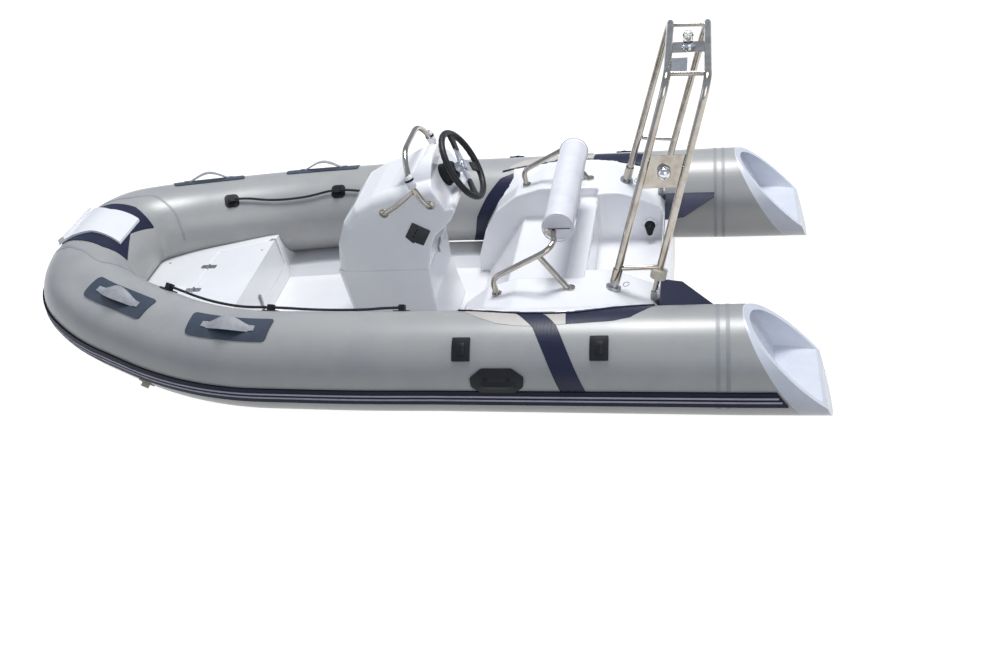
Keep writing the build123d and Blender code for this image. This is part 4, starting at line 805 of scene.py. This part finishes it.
finished(joined(bands), "hoopSleeveBands", blackRubber, "console_upper", smooth=50)
print("hoop made")

# fittings on the tube
grabForm = {"outline": [(0.862, 6.5), (0.9, 0.3), (1.036, 0.3), (1.074, 6.5), (1.077, 17), (1.03, 26.3),
                        (0.905, 26.3), (0.859, 17)],
            "well": [(0.912, 13), (1.024, 13), (1.024, 17.5), (0.912, 17.5)],
            "grip": [(0.89, 4.5), (1.046, 4.5), (1.036, 11.5), (0.9, 11.5)]}
grabs = [skinPatch(rounded(grabForm["outline"], 0.008), 0.0004, 0.011, 0.012, 0.004)]
grabs.append(skinPatch(rounded(grabForm["grip"], 0.006), 0.012, 0.004, 0.012, 0.008))
finished(pair(joined(grabs)), "sideGrabs", blackRubber, "boat", ["side_grabs"], smooth=40)
# the well under each grip is a dark sheet standing for the shade in the recess: painted shade
finished(pair(skinPatch(rounded(grabForm["well"], 0.006), 0.0146, 0.0008, 0.012)), "sideGrabWells",
         gapShadePaint, "boat")
fittingForm = {"centres": [(1.114, 47), (0.555, 47)], "half": (0.037, 13), "post": (0.014, 6.5)}
plates, slots = [], []
for station, angle in fittingForm["centres"]:
    for (wide, high), lift, thick, dome in ((fittingForm["half"], 0.0004, 0.007, 0.002),
                                            (fittingForm["post"], 0.006, 0.006, 0.006)):
        box = [(station - wide, angle - high), (station + wide, angle - high), (station + wide, angle + high),
               (station - wide, angle + high)]
        plates.append(skinPatch(rounded(box, 0.005), lift, thick, 0.012, dome))
    slots.append(skinPatch(rounded([(station - 0.004, angle - 2.6), (station + 0.004, angle - 2.6),
                                    (station + 0.004, angle + 2.6), (station - 0.004, angle + 2.6)],
                                    0.002), 0.0166, 0.002, 0.01))
finished(pair(joined(plates)), "sideFittings", blackRubber, "boat", ["side_fittings"],
         smooth=40)
# the slot in each fitting's post is a dark sheet standing for the shade in the opening: painted shade
finished(pair(joined(slots)), "sideFittingSlots", gapShadePaint, "boat")
print("tube fittings made")

# sockets, cable boot, lamp
socketForm = {"side": 0.22, "thickness": 0.0036,
              "outline": [(1.423, 0.62), (1.345, 0.576), (1.387, 0.502), (1.427, 0.52), (1.432, 0.513),
                          (1.4655, 0.549)],
              "holes": [(1.406, 0.581), (1.416, 0.568), (1.427, 0.55)],
              "holeShadeDisc": [(0, 0.0046), (0.0035, 0.0046), (0.0048, 0.0035), (0.0048, 0.002), (0, 0.002)]}
wall = Matrix(((-1, 0, 0, 0), (0, 0, 1, socketForm["side"]), (0, 1, 0, 0), (0, 0, 0, 1)))
outline = roundedOutline([(-x, z) for x, z in socketForm["outline"]], 0.004)
finished(plate(outline, socketForm["thickness"], wall, 0.0008, 2), "socketPanel", blackPlastic,
         "console_upper", ["socket_panel"])
# the discs in the socket holes carry the gap shade, standing for the shade inside the holes: painted shade
holeShades = [turned(socketForm["holeShadeDisc"], wall @ Matrix.Translation((-x, z, 0)), 20)
         for x, z in socketForm["holes"]]
finished(joined(holeShades), "socketHoleShades", gapShadePaint, "console_upper")

bootForm = {"place": (0.407, -0.36, 0.268), "boltRing": 0.033, "reach": 0.045, "droop": 0.024,
            "ring": [(0.02, 0.0005), (0.0385, 0.0005), (0.0385, 0.004), (0.037, 0.0055), (0.029, 0.006),
                     (0.0265, 0.008), (0.02, 0.008)],
            "bolt": [(0, 0.0085), (0.002, 0.0083), (0.003, 0.007), (0.003, 0.004), (0, 0.004)],
            "sleeve": [(0, 0.045), (0.013, 0.045), (0.0155, 0.042), (0.0145, 0.036), (0.0185, 0.032),
                       (0.0165, 0.026), (0.022, 0.021), (0.0195, 0.015), (0.0262, 0.009),
                       (0.0262, 0.003), (0, 0.003)]}
bootFrame = standing(bootForm["place"], (0, 1, 0), (1, 0, 0))
ring = turned(bootForm["ring"], bootFrame, 48)
bolts = []
for turn in range(0, 360, 60):
    spin = bootFrame @ Matrix.Rotation(math.radians(turn), 4, "Z")
    bolts.append(turned(bootForm["bolt"], spin @ Matrix.Translation((bootForm["boltRing"], 0, 0)), 12))
finished(ring, "bootRing", gelcoat, "boat", smooth=40)
finished(joined(bolts), "bootBolts", satin, "boat", smooth=40)
sleeve = turned(bootForm["sleeve"], bootFrame, 36)
for vertex in sleeve.data.vertices:  # the boot droops as it leaves the wall
    out = (vertex.co.y - bootForm["place"][1]) / bootForm["reach"]
    vertex.co.z -= bootForm["droop"] * out ** 2
finished(sleeve, "bootSleeve", blackRubber, "boat", ["cable_boot"], smooth=40)

lampForm = {"place": (0.2005, 0, 1.2835),
            "base": [(0, 0), (0.0295, 0), (0.0295, 0.006), (0.026, 0.0085), (0.0245, 0.012),
                     (0.0235, 0.018), (0.021, 0.02), (0, 0.02)],
            "glass": [(0, 0.02), (0.0205, 0.02), (0.0205, 0.044), (0.0225, 0.046), (0.0225, 0.05),
                      (0.0205, 0.052), (0.019, 0.06), (0.0135, 0.0665), (0.006, 0.069), (0, 0.0695)],
            "core": [(0, 0.02), (0.004, 0.02), (0.004, 0.03), (0.0085, 0.034), (0.0085, 0.044),
                     (0.004, 0.048), (0, 0.048)]}
lampFrame = standing(lampForm["place"], (0, 0, 1), (1, 0, 0))
finished(turned(lampForm["base"], lampFrame, 40), "lampBase", chrome, "arch",
         ["mast_light"], smooth=40)
finished(turned(lampForm["glass"], lampFrame, 40), "lampGlass", lens, "arch", smooth=40)
finished(turned(lampForm["core"], lampFrame, 24), "lampCore", ivory, "arch", smooth=40)
print("sockets, boot and lamp made")

# small steel
ringForm = {"place": (0.468, 0.49, 0.444), "radius": 0.013, "wire": 0.0016}
x, y, z = ringForm["place"]
rings = []
for side in (1, -1):
    bpy.ops.mesh.primitive_torus_add(major_radius=ringForm["radius"], minor_radius=ringForm["wire"],
                                     major_segments=32, minor_segments=8, location=(x, side * y, z),
                                     rotation=(math.radians(70), 0, math.radians(20)))
    rings.append(settle(bpy.context.object))
finished(joined(rings), "pinRings", polished, "boat", smooth=60)

studForm = {"places": [(2.83, -0.157, 0.2232), (2.376, -0.275, 0.2232)],
            "head": [(0, 0.0022), (0.004, 0.002), (0.0062, 0.0008), (0.0062, -0.002), (0, -0.002)]}
studs = [turned(studForm["head"], standing(place, (0, 0, 1), (1, 0, 0)), 24) for place in studForm["places"]]
finished(joined(studs), "deckStuds", satin, "boat", smooth=40)
print("small steel made")

# stage and light
stageForm = {"reach": 40, "floor": "8C8C8C", "glow": 0.96, "sky": "D2DFF4", "power": 0.34, "mirrored": 0.5,
             "waterline": [(0.3, 0.53), (1.7, 0.53), (2.35, 0.462), (2.75, 0.208), (2.9, 0)]}
reach = stageForm["reach"]
halves = []
for side in (1, -1):  # the floor is open inside the hull's waterline
    edge = [(-reach, 0), (0.3, 0)] + stageForm["waterline"] + [(reach, 0), (reach, reach), (-reach, reach)]
    half = meshPiece([(x, side * y, 0) for x, y in edge], [tuple(range(len(edge)))[::side]])
    if half.data.polygons[0].normal.z < 0:
        half.data.flip_normals()
    halves.append(half)
floor = joined(halves)
floor.name = "floor"
floorPaint = bpy.data.materials.new("paleFloor")
floorPaint.use_nodes = True
tree = floorPaint.node_tree
tree.nodes["Principled BSDF"].inputs["Base Color"].default_value = toLinear(stageForm["floor"])
tree.nodes["Principled BSDF"].inputs["Roughness"].default_value = 0.9
glow = addNode(tree, "ShaderNodeEmission", {"Color": (1, 1, 1, 1)})
rays = addNode(tree, "ShaderNodeLightPath")
either = addNode(tree, "ShaderNodeMath", {"operation": "MAXIMUM"},
                 {0: (rays, "Is Camera Ray"), 1: (rays, "Is Glossy Ray")})
shine = addNode(tree, "ShaderNodeMath", {"operation": "MULTIPLY", 1: stageForm["glow"]},
                {0: (either, "Value")})
tree.links.new(shine.outputs["Value"], glow.inputs["Strength"])
both = addNode(tree, "ShaderNodeAddShader", None, {0: (tree.nodes["Principled BSDF"], "BSDF"),
                                                   1: (glow, "Emission")})
tree.links.new(both.outputs["Shader"], tree.nodes["Material Output"].inputs["Surface"])
floor.data.materials.append(floorPaint)

world = bpy.data.worlds.new("studio")
bpy.context.scene.world = world
world.use_nodes = True
tree = world.node_tree
background = tree.nodes["Background"]
background.inputs["Color"].default_value = toLinear(stageForm["sky"])
rays = addNode(tree, "ShaderNodeLightPath")
mirrored = addNode(tree, "ShaderNodeMath", {"operation": "MULTIPLY", 1: stageForm["mirrored"]},
                   {0: (rays, "Is Glossy Ray")})
seen = addNode(tree, "ShaderNodeMath", {"operation": "MAXIMUM"},
               {0: (rays, "Is Camera Ray"), 1: (mirrored, "Value")})
power = addNode(tree, "ShaderNodeMapRange", {"To Min": stageForm["power"], "To Max": 1.0},
                {"Value": (seen, "Value")})
tree.links.new(power.outputs["Result"], background.inputs["Strength"])

lamps = [("key", (0.6, -1.6, 6.5), 2.2, 370), ("fill", (-2.5, 6.5, 4.2), 5.0, 150),
         ("bow", (6.5, 1.0, 3.0), 3.0, 30)]
lampAim = Vector((1.3, 0, 0.3))
for name, place, size, watts in lamps:
    bpy.ops.object.light_add(type="AREA", location=place)
    lamp = bpy.context.object
    lamp.name = name
    lamp.data.size, lamp.data.energy = size, watts
    lamp.rotation_mode = "QUATERNION"
    lamp.rotation_quaternion = (lampAim - Vector(place)).to_track_quat("-Z", "Y")
bpy.context.scene.view_settings.view_transform = "Standard"
print("stage lit")
